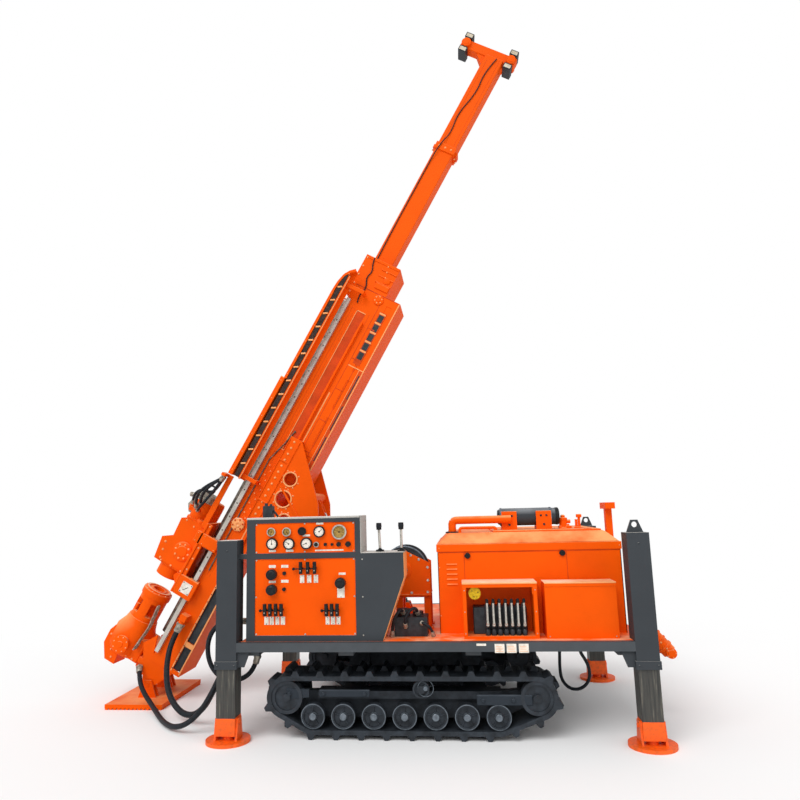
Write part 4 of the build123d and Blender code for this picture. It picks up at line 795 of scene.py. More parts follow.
def makeHoodTrim(facts):
    half = facts["half"]
    latches, seamsAndShade, bolts = [], [], []
    for side in (-1, 1):
        for x, z in facts["latches"]:
            at = side * (half + 12)
            latches += [("round", (x, at, z), (0, side, 0),
                         [(24, 0), (24, 4), (20, 9), (9, 9.5), (8, 6), (0, 6)], 22),
                        ("block", (x - 26, min(at, at + side * 5), z - 10),
                         (x - 12, max(at, at + side * 5), z + 10), 2)]
        y0, y1 = sorted((side * half, side * (half + 2)))
        # darker orange strip under the lid band's lip: painted shadow
        seamsAndShade += [("block", (facts["x0"] + 2, y0, facts["lid"] - 9),
                   (facts["x1"] - 2, y1, facts["lid"]), 0.5)]
        for x in (1922, 2763):
            seamsAndShade.append(("block", (x - 3, y0, 775), (x + 3, y1, 1410), 0.5))
        for z in (900, 1290):
            bolts.append(((1712, side * half, z), (0, side, 0), 0.6))
        bolts += rowOf((1716, side * (half + 8), 1448), (3190, side * (half + 8), 1448), 2, (0, side, 0), 0.6)
    makePiece("hoodLatches", "chassis", "blackNylon", latches)
    makePiece("hoodSeams", "chassis", "seamAndShadePaint", seamsAndShade)
    repeatPiece("hoodScrews", "chassis", "paleHighlightPaint", panScrew, bolts)
    makePiece("exhaustCollar", "chassis", "blackRubber", [
        ("round", (1830, -446, 1565), "z", [(62, 0), (60, 8), (46, 12), (35, 12), (35, 0), (62, 0)], 28)])
    makePiece("louvreShade", "chassis", "oilyIron", [
        ("block", (1770, side * 722 - 1, 1145), (1865, side * 722 + 1, 1330), 0.4) for side in (-1, 1)])
    bands = []
    for x in (2268, 2700):
        bands.append(("round", (x, -330, 1690), "x",
                      [(79, -9), (81, -7), (81, 7), (79, 9), (70, 9), (70, -9), (79, -9)], 36))
    makePiece("cleanerBands", "chassis", "wheelRimSteel", bands)
    makePiece("cleanerCap", "chassis", "blackNylon", [
        ("round", (2742, -330, 1690), "x", [(72, 0), (76, 4), (76, 26), (66, 34), (30, 36), (0, 36)], 32),
        ("round", (2248, -330, 1690), (-1, 0, 0), [(66, 0), (60, 10), (40, 13), (0, 13)], 32)])
    saddles = []
    for x in (2335, 2635):
        saddles += [((x - 24, -418, 1700), (0, -1, 0), 0.7), ((x + 24, -418, 1700), (0, -1, 0), 0.7),
                    ((x, -418, 1622), (0, -1, 0), 0.8), ((x - 24, -242, 1700), (0, 1, 0), 0.7),
                    ((x + 24, -242, 1700), (0, 1, 0), 0.7)]
    repeatPiece("saddleBolts", "chassis", "oilyIron", hexBolt, saddles, spin=1.0)
    makePiece("roofCleats", "chassis", "orangePaint", [
        ("block", (2770, -360, 1580), (2880, -300, 1604), 3),
        ("block", (2785, -352, 1604), (2862, -308, 1618), 2),
        ("round", (2925, -330, 1580), "z", [(22, 0), (22, 10), (12, 14), (12, 70), (16, 74), (0, 80)], 14)])
    makePiece("roofStrip", "chassis", "orangePaint", [
        ("prism", [(2960, -558), (3010, -558), (3082, 300), (3032, 300)], "z", 1579, 1583)])


makeHoodTrim(hoodTrim)

# Valve box: yellow reel, lever sleeves and tips, spool caps, edges and screws; the toolbox lid's edge
valveTrim = {"front": -980, "levers": [2085 + 48 * i for i in range(7)]}


def makeValveTrim(facts):
    front = facts["front"]
    makePiece("cordReel", "chassis", "yellowPlastic", [
        ("round", (1992, front + 60, 1105), (0, -1, 0),
         [(46, 0), (48, 3), (48, 10), (40, 13), (40, 24), (48, 27), (48, 34), (30, 37), (28, 33), (0, 33)],
         28)])
    makePiece("reelMarks", "chassis", "blackNylon", [
        ("round", (1992 + 28 * math.cos(a), front + 26, 1105 + 28 * math.sin(a)), (0, -1, 0),
         [(5, 0), (5, 3), (3, 4)], 8) for a in (0.3, 2.4, 4.5)]
        + [("round", (1998, front + 32, 1148), "z", [(12, 0), (12, 8), (6, 12)], 10)])
    makePiece("leverSteel", "chassis", "bezelSteel", [
        shape for x in facts["levers"] for shape in (
            ("round", (x, front + 6, 868), "z",
             [(8, 0), (11, 6), (9, 20), (8, 150), (10, 160), (7, 168)], 10),
            ("block", (x - 11, front + 2, 856), (x + 11, front + 16, 880), 2))])
    makePiece("leverTips", "chassis", "blackNylon", [
        ("round", (x, front + 9, 1028), "z", [(9, 0), (12, 4), (13, 16), (12, 30), (6, 36), (0, 37)], 12)
        for x in facts["levers"]])
    caps = []
    for x in facts["levers"]:
        caps += [("round", (x, front + 62, 800), (0, -1, 0),
                  [(19, 0), (20, 8), (14, 16), (7, 18), (0, 18)], 14),
                 ("round", (x, front + 62, 848), (0, -1, 0), [(17, 0), (17, 12), (10, 15)], 6),
                 ("round", (x, front + 44, 772), "z", [(16, 0), (20, 8), (20, 46), (14, 56)], 12)]
    makePiece("spoolCaps", "chassis", "oilyIron", caps)
    makePiece("boxGusset", "chassis", "orangePaint", [
        ("prism", [(front + 2, 1150), (front + 2, 1095), (front + 6, 1095), (front + 70, 1150)],
         "x", 2442, 2449),
        ("block", (2452, front - 2, 782), (2478, front + 4, 1150), 1),
        ("block", (1897, front - 2, 782), (1923, front + 4, 1150), 1)])
    makePiece("boxLip", "chassis", "paleHighlightPaint", [
        ("block", (1893, front - 5, 1176), (2482, front + 1, 1188), 1.5),
        ("block", (1893, front - 3, 1186), (2482, -731, 1190), 1.5)])
    repeatPiece("boxScrews", "chassis", "bezelSteel", panScrew,
                rowOf((1910, front, 800), (1910, front, 1130), 3, (0, -1, 0), 0.7)
                + rowOf((2465, front, 800), (2465, front, 1130), 3, (0, -1, 0), 0.7)
                + rowOf((2560, front, 776), (3062, front, 776), 2, (0, -1, 0), 0.7))
    makePiece("lidLip", "toolbox_lid", "paleHighlightPaint", [
        ("block", (2536, front - 7, 1174), (3087, front - 3, 1184), 1.2),
        ("block", (2536, front - 4, 1181), (3087, -772, 1184), 1)])


makeValveTrim(valveTrim)
print("hood and boxes trimmed")

# Deck: blank rating plates with plain rules on the near rail, bolts and caps on the jack sleeves
deckTrim = {"plates": [(2022, 742, 74, 17), (2160, 715, 74, 66), (2250, 715, 74, 66), (2342, 715, 74, 66)]}
makePiece("railPlates", "chassis", "plateWhite", [
    ("block", (x - wide / 2, -1112.5, z - high / 2), (x + wide / 2, -1109, z + high / 2), 0.8)
    for x, z, wide, high in deckTrim["plates"]])
makePiece("plateRules", "chassis", "paleHighlightPaint", [
    ("block", (x - wide / 2 + 8, -1113.2, z - high / 2 + 10 + 12 * i),
     (x + wide / 2 - 8 - 9 * (i % 2), -1112, z - high / 2 + 13 + 12 * i), 0.3)
    for x, z, wide, high in deckTrim["plates"] if high > 30 for i in range(4)])
sleeveBolts = []
for x, side in ((0, -1), (3250, -1), (0, 1), (3250, 1)):
    y = side * 1025
    for dx in (-70, 70):
        sleeveBolts.append(((x + dx, y + side * 92, 590), (0, side, 0), 0.6))
    sleeveBolts.append(((x, y + side * 85, 1480), (0, side, 0), 0.6))
repeatPiece("sleeveBolts", "chassis", "darkGreyPaint", hexBolt, sleeveBolts)
# pale caps: painted highlight on the sleeves' lit top faces
makePiece("sleeveCaps", "chassis", "greyHighlightPaint", [
    ("block", (x - 80, y - 80, 1560), (x + 80, y + 80, 1563), 1) for x, y in ((0, -1025), (0, 1025))])

# Crawler: rims, spokes and hubs on every wheel, guards and bolts on the track frames; rows are x, z, radius
wheelTable = [(669 + 244.7 * i, 171, 98) for i in range(7)] + [(1575, 385, 66)]


def makeCrawlerTrim():
    rims, spokes, hubs = [], [], []
    for side in (-1, 1):
        out = (0, side, 0)
        for x, z, radius in wheelTable:
            face = side * 951
            rims.append(("round", (x, face, z), out,
                         [(radius * 0.90, -3), (radius * 0.97, 1), (radius * 0.97, 3), (radius * 0.92, 4),
                          (radius * 0.88, -3), (radius * 0.90, -3)], 32))
            hubs.append(("round", (x, face + side * 10, z), out,
                         [(radius * 0.34, -22), (radius * 0.30, 0), (radius * 0.24, 5),
                          (radius * 0.12, 6), (0, 3)], 20))
            for i in range(5):
                angle = 2 * math.pi * i / 5 + 0.3
                spokes.append(((x + radius * 0.52 * math.cos(angle), face - side * 12,
                                z + radius * 0.52 * math.sin(angle)),
                               (math.cos(angle), 0, math.sin(angle)), radius / 98))
    makePiece("wheelRims", "chassis", "wheelRimSteel", rims)
    makePiece("wheelHubs", "chassis", "wheelRimSteel", hubs)
    repeatPiece("wheelSpokes", "chassis", "dryTrackSteel",
                [("block", (-4, -9, -26), (4, 9, 26), 2)], spokes)
    guards, bolts = [], []
    for side in (-1, 1):
        y0, y1 = sorted((side * 930, side * 960))
        guards += [("block", (1972, y0, 262), (2400, y1, 338), 6),
                   ("block", (720, y0, 318), (1130, y1, 372), 6),
                   ("prism", [(452, 300), (640, 316), (640, 372), (452, 384)], "y",
                    *sorted((side * 925, side * 955)))]
        bolts += [((x, side * 960, z), (0, side, 0), 1.5)
                  for x, z in ((2020, 300), (2252, 300), (760, 345), (1090, 345), (480, 342))]
    makePiece("frameGuards", "chassis", "wheelPaint", guards)
    repeatPiece("frameBolts", "chassis", "wheelPaint", hexBolt, bolts, spin=1.0)


makeCrawlerTrim()
print("crawler trimmed")

# Drill head: blocks that grip the rails, back plate, gearbox with bearing covers, motor and swivel
headShape = {"s": 1010, "top": 1750, "plate": 263, "block": 294,
             "gear": [(1160, 352), (1640, 352), (1700, 470), (1680, 600), (1640, 668), (1450, 655),
                      (1385, 755), (1165, 722), (1160, 600)]}


def makeHead(facts):
    s, top, plate, outer = facts["s"], facts["top"], facts["plate"], facts["block"]
    shapes = [("block", (s, 330, -outer), (top, 352, outer), 3)]
    for side in (-1, 1):
        shapes += [sideBlock(side, s, s + 195, 128, 331, plate, outer, 6),
                   sideBlock(side, s + 520, s + 640, 138, 400, plate, outer, 6),
                   sideBlock(side, s, top, 290, 331, plate, plate + 16, 3)]
        for s0, s1 in ((s, s + 195), (s + 520, s + 640)):
            shapes += [sideBlock(side, s0, s1, n, n + 30, 225, plate + 1, 3) for n in (139, 211)]
        w0, w1 = sorted((side * 150, side * 170))
        gusset = [(s + 20, 352), (s + 150, 352), (s + 150, 420), (s + 110, 440), (s + 60, 400)]
        shapes.append(("prism", gusset, "z", w0, w1))
    shapes += [("block", (top - 60, 345, plate), (2270, 400, plate + 16), 2),
               ("block", (2240, 395, plate), (2270, 440, 380), 2)]
    makePieceReplacing("headCarriage", "head", "orangePaint", shapes, "head_carriage")
    gear = [("prism", facts["gear"], "z", -138, 138)]
    corners = len(facts["gear"])
    middle = (sum(a for a, b in facts["gear"]) / corners, sum(b for a, b in facts["gear"]) / corners)
    shrunk = [(middle[0] + (a - middle[0]) * 0.93, middle[1] + (b - middle[1]) * 0.93)
              for a, b in facts["gear"]]
    gear += [("prism", shrunk, "z", -150, 150),
             ("round", (1360, 480, -172), "z", [(84, 0), (96, 8), (96, 336), (84, 344)], 32),
             ("round", (1360, 480, -178), "z", [(50, 0), (58, 6), (58, 350), (50, 356)], 26),
             ("round", (1655, 555, 0), "x",
              [(112, 0), (112, 22), (98, 30), (98, 205), (93, 225), (84, 225), (84, 0)], 36),
             ("round", (1160, 555, 0), (-1, 0, 0), [(128, -30), (128, 4), (120, 8), (84, 8)], 36),
             ("round", (1640, 470, -150), "x",
              [(70, 0), (70, 24), (62, 28), (62, 236), (54, 262), (30, 266), (0, 266)], 30),
             ("round", (1640, 470, 105), "x", [(46, 0), (46, 60), (38, 72), (0, 72)], 22),
             ("block", (1728, 600, -24), (1772, 682, 52), 4),
             ("round", (1790, 676, 28), (-1, 0, 0), [(18, -12), (21, -8), (21, 30)], 6),
             ("rod", (1782, 552, 150), (1782, 555, 84), 19)]
    for w in (-120, 120):
        gear += [("block", (1200, 352, w - 9), (1640, 392, w + 9), 2)]
    makePieceReplacing("gearCase", "head", "orangePaint", gear, "head_gearbox")
    makePiece("swivel", "head", "castSteel", [
        ("round", (1880, 555, 0), "x",
         [(84, 0), (106, 0), (106, 18), (94, 24), (94, 46), (104, 52), (104, 70), (84, 86), (60, 90),
          (50, 90), (50, 84), (84, 82)], 36),
        ("rod", (1915, 640, 0), (1872, 742, 0), 22),
        ("round", (1872, 742, 0), (-42, 102, 0), [(27, -8), (27, 10), (20, 16), (14, 16)], 6),
        ("block", (1905, 450, -30), (1945, 466, 30), 4),
        ("prism", [(1700, 640), (1850, 664), (1868, 700), (1770, 735), (1700, 690)], "z", -28, -10)])
    makePiece("swivelRing", "head", "blackRubber",
              [("ring", (2014, 566, 40), (0.2, 0.1, 1), 42, 10)])
    bolts = []
    for side in (-1, 1):
        bolts += circleOf((1360, 480, side * 172), (0, 0, side), 72, 8, 0.8)
        bolts += rowOf((1200, 660, side * 150), (1360, 690, side * 150), 3, (0, 0, side), 0.9)
        bolts += rowOf((1180, 400, side * 150), (1180, 640, side * 150), 3, (0, 0, side), 0.8)
        bolts += rowOf((1600, 400, side * 150), (1650, 600, side * 150), 3, (0, 0, side), 0.8)
        bolts += [((a, b, side * 294), (0, 0, side), 0.4)
                  for a, b in ((1550, 160), (1630, 160), (1550, 300), (1630, 300), (1550, 380), (1630, 380))]
        bolts += rowOf((1030, 310, side * 279), (1730, 310, side * 279), 7, (0, 0, side), 0.7)
    bolts += circleOf((1677, 555, 0), (1, 0, 0), 105, 10, 0.6)
    bolts += circleOf((1152, 555, 0), (-1, 0, 0), 104, 8, 0.7)
    repeatPiece("headBolts", "head", "paleHighlightPaint", hexBolt, bolts, spin=1.0)
    makePiece("blockPlate", "head", "plateWhite",
              [("block", (1052, 168, 293), (1160, 276, 296.5), 1)])
    repeatPiece("blockPlateScrews", "head", "oilyIron", panScrew, [
        ((a, b, 296), (0, 0, 1), 0.8) for a, b in ((1062, 178), (1062, 266), (1150, 178), (1150, 266))])
    makePiece("blockMark", "head", "oilyIron",
              [("rod", (1125, 205, 297), (1090, 232, 297), 2.5),
               ("rod", (1090, 232, 297), (1082, 244, 297), 2.5)])


makeHead(headShape)

# Foot clamp: turned body, windowed cage and stepped ring, jaw cylinders and the shoulder below
clampShape = {"axis": 555,
              "body": [(60, 190), (172, 190), (205, 240), (205, 420), (165, 500), (150, 560), (60, 560)],
              "shoulder": [(64, 560), (64, 672), (196, 760), (330, 764), (400, 735), (400, 600)]}


def makeClamp(facts):
    n = facts["axis"]
    shapes = [("round", (0, n, 0), "x", facts["body"] + facts["body"][:1], 40),
              ("round", (0, n, 0), "x",
               [(60, 800), (148, 800), (150, 808), (150, 860), (142, 866), (132, 866), (130, 880), (104, 880),
                (102, 872), (84, 872), (80, 880), (60, 880), (60, 800)], 44),
              ("round", (0, n, 0), "x", [(96, 555), (138, 555), (138, 610), (96, 610), (96, 555)], 40),
              ("round", (0, n, 0), "x", [(96, 750), (138, 750), (138, 801), (96, 801), (96, 750)], 40)]
    for i in range(4):
        angle = math.pi / 2 * i
        points = []
        for k in range(7):
            a = angle + math.radians(-21 + 7 * k)
            points.append((n + 138 * math.cos(a), 138 * math.sin(a)))
        for k in range(7):
            a = angle + math.radians(21 - 7 * k)
            points.append((n + 96 * math.cos(a), 96 * math.sin(a)))
        shapes.append(("prism", points, "x", 609, 751))
    for side in (-1, 1):
        shapes.append(("round", (310, n, side * 120), (0, 0, side),
                       [(78, 0), (78, 100), (84, 104), (84, 120), (60, 125), (30, 126), (28, 132), (0, 132)],
                       30))
        shapes.append(("rod", (310, n + 110, side * 150), (310, n - 110, side * 150), 26, 16))
    shapes += [("prism", facts["shoulder"], "z", -115, 115), ("block", (200, 340, -165), (430, 500, 165), 10),
               ("block", (190, 230, -120), (440, 366, 120), 6),
               ("block", (190, 80, -190), (328, 240, 190), 4),
               ("block", (236, 225, 120), (300, 330, 205), 8),
               ("round", (560, 655, 60), "x",
                [(24, 0), (24, 30), (14, 40), (14, 110), (20, 116), (0, 118)], 14),
               ("prism", [(120, 230), (190, 230), (190, 360), (160, 350)], "z", -110, 110)]
    makePieceReplacing("clampBody", "mast", "orangePaint", shapes, "foot_clamp")
    bolts = circleOf((866, n, 0), (1, 0, 0), 141, 12, 0.6)
    for side in (-1, 1):
        bolts += circleOf((310, n, side * 240), (0, 0, side), 70, 8, 0.6)
        bolts += rowOf((110, 620, side * 115), (300, 730, side * 115), 4, (0, 0, side), 0.8)
        bolts += rowOf((220, 400, side * 165), (220, 470, side * 165), 2, (0, 0, side), 0.8)
        bolts += rowOf((205, 110, side * 190), (205, 220, side * 190), 3, (0, 0, side), 0.9)
    repeatPiece("clampBolts", "mast", "paleHighlightPaint", hexBolt, bolts, spin=1.0)
    makePiece("ringFace", "mast", "paleHighlightPaint", [
        ("round", (879, n, 0), "x", [(106, 0), (106, 2.5), (126, 2.5), (126, 0), (106, 0)], 44),
        ("round", (871, n, 0), "x", [(64, 0.5), (64, 3), (78, 3), (78, 0.5), (64, 0.5)], 44)])
    pipes = []
    for i in range(4):
        w = 60 + 22 * i
        pipes += [("rod", (330, 410, w + 118), (560, 400, w + 60), 7),
                  ("rod", (560, 400, w + 60), (770, 440, w), 7)]
    makePiece("clampPipes", "mast", "castSteel", pipes)


makeClamp(clampShape)
print("head and clamp built")

# Engine hood: walls, lid band, hipped roof with a raised panel and louvre lips
hoodShape = {"x0": 1700, "x1": 3200, "half": 730, "deck": 760, "lid": 1418, "top": 1480, "roof": 1566,
             "inX": 90, "inY": 150}


def makeHood(facts):
    x0, x1, half, deck = (facts[k] for k in ("x0", "x1", "half", "deck"))
    lid, top, roof = (facts[k] for k in ("lid", "top", "roof"))
    shapes = [("block", (x0, -half, deck), (x0 + 6, half, lid + 10), 0),
              ("block", (x1 - 6, -half, deck), (x1, half, lid + 10), 0)]
    for side in (-1, 1):
        y0, y1 = sorted((side * half, side * (half - 6)))
        shapes.append(("block", (x0, y0, deck), (x1, y1, lid + 10), 0))
        for i in range(5):
            z = 1149 + 40.5 * i
            shapes.append(("prism",
                           [(side * (half - 2), z + 12), (side * (half + 7), z + 3), (side * (half + 7), z),
                            (side * (half - 2), z + 2)], "x", 1773, 1861))
    shapes.append(("block", (x0 - 8, -half - 8, lid), (x1 + 8, half + 8, top), 3))
    shapes.append(("block", (2180, -half + facts["inY"] + 20, roof - 3),
                   (x1 - 110, half - facts["inY"] - 20, roof + 14), 4))
    makePieceReplacing("hoodShell", "chassis", "orangePaint", shapes, "engine_hood")
    bm = bmesh.new()
    lower = [bm.verts.new((x, y, top - 1)) for x, y in ((x0, -half), (x1, -half), (x1, half), (x0, half))]
    left, right = x0 + facts["inX"], x1 - facts["inX"]
    near, far = -half + facts["inY"], half - facts["inY"]
    upper = [bm.verts.new((x, y, roof)) for x, y in ((left, near), (right, near), (right, far), (left, far))]
    bm.faces.new(lower)
    bm.faces.new(upper)
    for i in range(4):
        j = (i + 1) % 4
        bm.faces.new((lower[i], lower[j], upper[j], upper[i]))
    bmesh.ops.bevel(bm, geom=list(bm.edges), offset=8, segments=2, affect="EDGES")
    bmesh.ops.recalc_face_normals(bm, faces=bm.faces)
    bm.transform(chassisFrame)
    hip = meshObject("hoodRoof", bm)
    hip.data.materials.append(materials["orangePaint"])
    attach(hip, "chassis")


makeHood(hoodShape)


# Winch stand: two shaped plates with bearing rings on four short posts
def makeWinchStand():
    x, y, z = winchTrim["x"], winchTrim["y"], winchTrim["z"]
    shapes = []
    for side in (-1, 1):
        w0, w1 = sorted((y + side * 144, y + side * 156))
        shapes.append(("prism",
                       [(x - 80, z - 218), (x + 226, z - 218), (x + 226, z + 58), (x + 22, z + 160),
                        (x - 62, z + 92)], "y", w0, w1))
        shapes.append(("round", (x, y + side * 156, z), (0, side, 0),
                       [(64, 0), (64, 6), (58, 9), (31, 9)], 30))
        w0, w1 = sorted((y + side * 156, y + side * 174))
        shapes.append(("block", (x - 82, w0, z - 218), (x + 228, w1, z - 206), 1.5))
    shapes.append(("block", (x - 80, y - 156, z - 233), (x + 226, y + 156, z - 218), 2))
    for px in (x - 50, x + 196):
        for py in (y - 116, y + 116):
            shapes.append(("block", (px - 30, py - 30, 760), (px + 30, py + 30, z - 233), 4))
            shapes.append(("block", (px - 46, py - 46, 760), (px + 46, py + 46, 772), 3))
    makePieceReplacing("winchFrame", "chassis", "orangePaint", shapes, "winch_stand")


makeWinchStand()


# Roof fittings: saddles of the air cleaner, exhaust and thin pipe, filler with its side pipe, and the cleaner
def makeRoofFittings():
    air, roof = 1690, 1580
    shapes = []
    for x in (2335, 2635):
        arc = [(-330 + 79 * math.cos(a), air + 79 * math.sin(a))
               for a in [math.radians(36 - 18 * k) for k in range(15)]]
        outline = [(-418, roof - 2), (-242, roof - 2), (-246, air + 47), (-256, air + 50)] + arc
        outline += [(-404, air + 50), (-414, air + 47)]
        shapes.append(("prism", outline, "x", x - 66, x + 66))
    pipe = [(1830, 1530), (1830, 1640), (1838, 1660), (1854, 1670), (1875, 1673), (2340, 1673)]
    for a, b in zip(pipe, pipe[1:]):
        shapes.append(("round", (a[0], -446, a[1]), (b[0] - a[0], 0, b[1] - a[1]),
                       [(33, -6), (34, 0), (34, math.dist(a, b)), (33, math.dist(a, b) + 6)], 22))
    thin = [(1896, 1530), (1896, 1594), (1904, 1604), (1916, 1606), (2190, 1606), (2204, 1602),
            (2210, 1590), (2210, 1570)]
    for a, b in zip(thin, thin[1:]):
        shapes.append(("round", (a[0], -470, a[1]), (b[0] - a[0], 0, b[1] - a[1]),
                       [(12, -3), (13, 0), (13, math.dist(a, b)), (12, math.dist(a, b) + 3)], 14))
    shapes += [("round", (2810, -330, roof), "z",
                [(40, 0), (40, 8), (34, 12), (34, 70), (38, 74), (38, 92), (20, 96), (20, 112),
                 (10, 120), (0, 120)], 22),
               ("rod", (2810, -330, roof + 60), (2874, -330, roof + 60), 17, 16),
               ("round", (2950, -330, roof), "z", [(20, 0), (20, 8), (12, 12), (12, 96), (0, 97)], 16),
               ("block", (2928, -350, roof + 92), (2972, -310, roof + 122), 5)]
    makePieceReplacing("roofPieces", "chassis", "orangePaint", shapes, "roof_fittings")
    makePieceReplacing("airCleaner", "chassis", "cleanerPaint", [
        ("round", (2245, -330, air), "x",
         [(60, 0), (68, 4), (70, 14), (77, 18), (77, 460), (74, 466), (72, 486), (74, 490), (70, 504),
          (0, 505)], 40)], "air_cleaner")


makeRoofFittings()


# Valve bank: one body with a spool section and a lever each
def makeValveBank():
    front = valveTrim["front"]
    shapes = [("block", (1975, front + 96, 780), (2400, -738, 990), 6)]
    levers = []
    for x in valveTrim["levers"]:
        shapes += [("block", (x - 19, front + 68, 796), (x + 19, front + 98, 1004), 5),
                   ("round", (x, front + 84, 1003), "z", [(14, 0), (14, 16), (9, 22), (0, 22)], 10),
                   ("block", (x - 14, front + 60, 880), (x + 14, front + 70, 960), 3)]
        levers += [("rod", (x, front + 66, 900), (x, front + 10, 900), 8),
                   ("block", (x - 6, front + 6, 850), (x + 6, front + 16, 1052), 2)]
    makePieceReplacing("valveBank", "chassis", "oilyIron", shapes, "valve_bank")
    makePieceReplacing("valveLevers", "chassis", "castSteel", levers, "valve_levers")


makeValveBank()
print("hood, winch and valves built")

# Telescopic top: tube, bolted collar, cross bar with end drums, and lamps in dark frames
topShape = {"low": 3900, "high": 7560, "n": 92, "half": 102.5, "collar": (6340, 6420),
            "bar": (7560, 7665, -130, 520)}


def makeTop(facts):
    low, high, n, half = facts["low"], facts["high"], facts["n"], facts["half"]
    s0, s1, n0, n1 = facts["bar"]
    c0, c1 = facts["collar"]
    out = half + 14
    shapes = [("block", (low, n - half, -half), (high, n + half, half), 6),
              ("block", (c0, n - out, -out), (c1, n + out, out), 3),
              ("block", (c0 + 18, n - out - 26, -62), (c1 - 18, n + out + 26, 62), 3),
              ("block", (s0, n0, -60), (s1, n1, 60), 5),
              ("prism", [(high - 120, n + half - 2), (high + 2, n + half - 2), (high + 2, n + half + 120)],
               "z", -50, 50),
              ("prism", [(high - 80, n - half + 2), (high + 2, n - half + 2), (high + 2, n - half - 84)], "z",
               -50, 50)]
    for end in (n0 + 55, n1 - 55):
        shapes.append(("round", ((s0 + s1) / 2, end, -95), "z",
                       [(44, 0), (52, 6), (52, 20), (47, 24), (47, 166), (52, 170), (52, 184), (44, 190)],
                       28))
        shapes.append(("round", ((s0 + s1) / 2, end, 92), "z", [(30, 0), (30, 6), (12, 8), (0, 8)], 16))
    makePieceReplacing("topTube", "extension", "orangePaint", shapes, "mast_extension")
    seamsAndShade = []
    for side in (-1, 1):
        w0, w1 = sorted((side * (half - 0.5), side * (half + 1)))
        seamsAndShade += [("block", (6440, n + 62, w0), (7500, n + 65, w1), 0),
                  ("block", (6440, n - 70, w0), (7540, n - 68, w1), 0)]
    makePiece("topSeams", "extension", "seamAndShadePaint", seamsAndShade)
    repeatPiece("topBolts", "extension", "paleHighlightPaint", hexBolt, [
        ((c0 + 40, n + k * 70, side * out), (0, 0, side), 0.9) for k in (-1, 0, 1) for side in (-1, 1)] + [
        ((c0, n + side * (out + 14), w), (-1, 0, 0), 0.9) for side in (-1, 1) for w in (-40, 40)], spin=1.0)
    lamps, glass = [], []
    for end in (n0 + 55, n1 - 55):
        for a, b in ((s0 - 64, s0 - 2), (s1 + 2, s1 + 62)):
            lamps += [("block", (a, end - 46, -88), (b, end + 46, 88), 5)]
            for side in (-1, 1):
                lamps += [sideBlock(side, a + 3, a + 9, end - 44, end + 44, 88, 93, 1),
                          sideBlock(side, b - 9, b - 3, end - 44, end + 44, 88, 93, 1),
                          sideBlock(side, a + 3, b - 3, end - 45, end - 38, 88, 93, 1),
                          sideBlock(side, a + 3, b - 3, end + 38, end + 45, 88, 93, 1)]
                glass.append(sideBlock(side, a + 8, b - 8, end - 39, end + 39, 88, 90, 1))
    makePieceReplacing("lampBodies", "extension", "oilyIron", lamps, "head_lamps")
    makePiece("lampGlasses", "extension", "lampGlass", glass)


makeTop(topShape)
print("mast top built")

# Hose tray: cover in two steps, skirt, floor and a curved end; chain links with pale webs and dark slats
trayShape = {"s0": 2290, "step": 3380, "s1": 4390, "w0": 300, "w1": 382, "pitch": 155, "links": 15}


def makeTray(facts):
    s0, s1, w0, w1 = facts["s0"], facts["s1"], facts["w0"], facts["w1"]
    end = [(4390, 216), (4390, 352), (4500, 344), (4590, 322), (4650, 286), (4694, 236), (4672, 216)]
    makePieceReplacing("trayCover", "mast", "orangePaint", [
        ("block", (s0, 325, w0), (facts["step"], 385, w0 + 6), 0),
        ("block", (s0, 340, w0), (facts["step"], 385, w1), 1.5),
        ("block", (facts["step"], 325, w0), (s1, 352, w1), 1.5),
        ("block", (s0, 216, w0), (s1, 340, w0 + 6), 0),
        ("block", (s0, 258, w0), (4600, 266, w1), 1),
        ("prism", end, "z", w0, w0 + 6),
        ("prism", [(4390, 330), (4500, 322), (4580, 302), (4632, 270), (4672, 216), (4694, 236), (4650, 286),
                   (4590, 322), (4500, 344), (4390, 352)], "z", w0 + 4, w1),
        ("block", (2310, 100, 320), (2350, 256, 332), 2), ("block", (2310, 100, 220), (2350, 112, 326), 1),
        ("block", (4500, 60, 320), (4540, 256, 332), 2), ("block", (4500, 60, 220), (4540, 72, 326), 1)],
        "hose_tray")
    links, webs, slats = [], [], []
    for i in range(facts["links"]):
        s = s0 + 10 + i * facts["pitch"]
        links += [("block", (s, 268, w0 + 8), (s + 131, 322, w1 - 6), 3)]
        webs.append(((s + 143, 295, w1 - 8), (0, 0, 1), 1.0))
        slats += [((s + 12 + 12 * k, 295, w1 - 6), (0, 0, 1), 1.0) for k in range(10)]
    makePieceReplacing("hoseChain", "mast", "chainNylon", links, "hose_chain")
    repeatPiece("chainWebs", "mast", "paleHighlightPaint", [("block", (-25, -8, -14), (25, 8, 6), 2)], webs)
    repeatPiece("chainSlats", "mast", "oilyIron",
                [("block", (-22, -2.2, -2), (22, 2.2, 2), 0.5)], slats)
    screws = rowOf((2340, 362, w1), (3340, 362, w1), 6, (0, 0, 1), 0.7)
    screws += rowOf((3430, 338, w1), (4360, 338, w1), 6, (0, 0, 1), 0.6)
    repeatPiece("trayScrews", "mast", "paleHighlightPaint", panScrew, screws)
    makePiece("trayRib", "mast", "paleHighlightPaint",
              [("block", (s0, 251, w1 - 16), (4600, 258, w1 - 2), 1),
               ("block", (3374, 350, w0), (3384, 386, w1 + 1), 1)])


makeTray(trayShape)
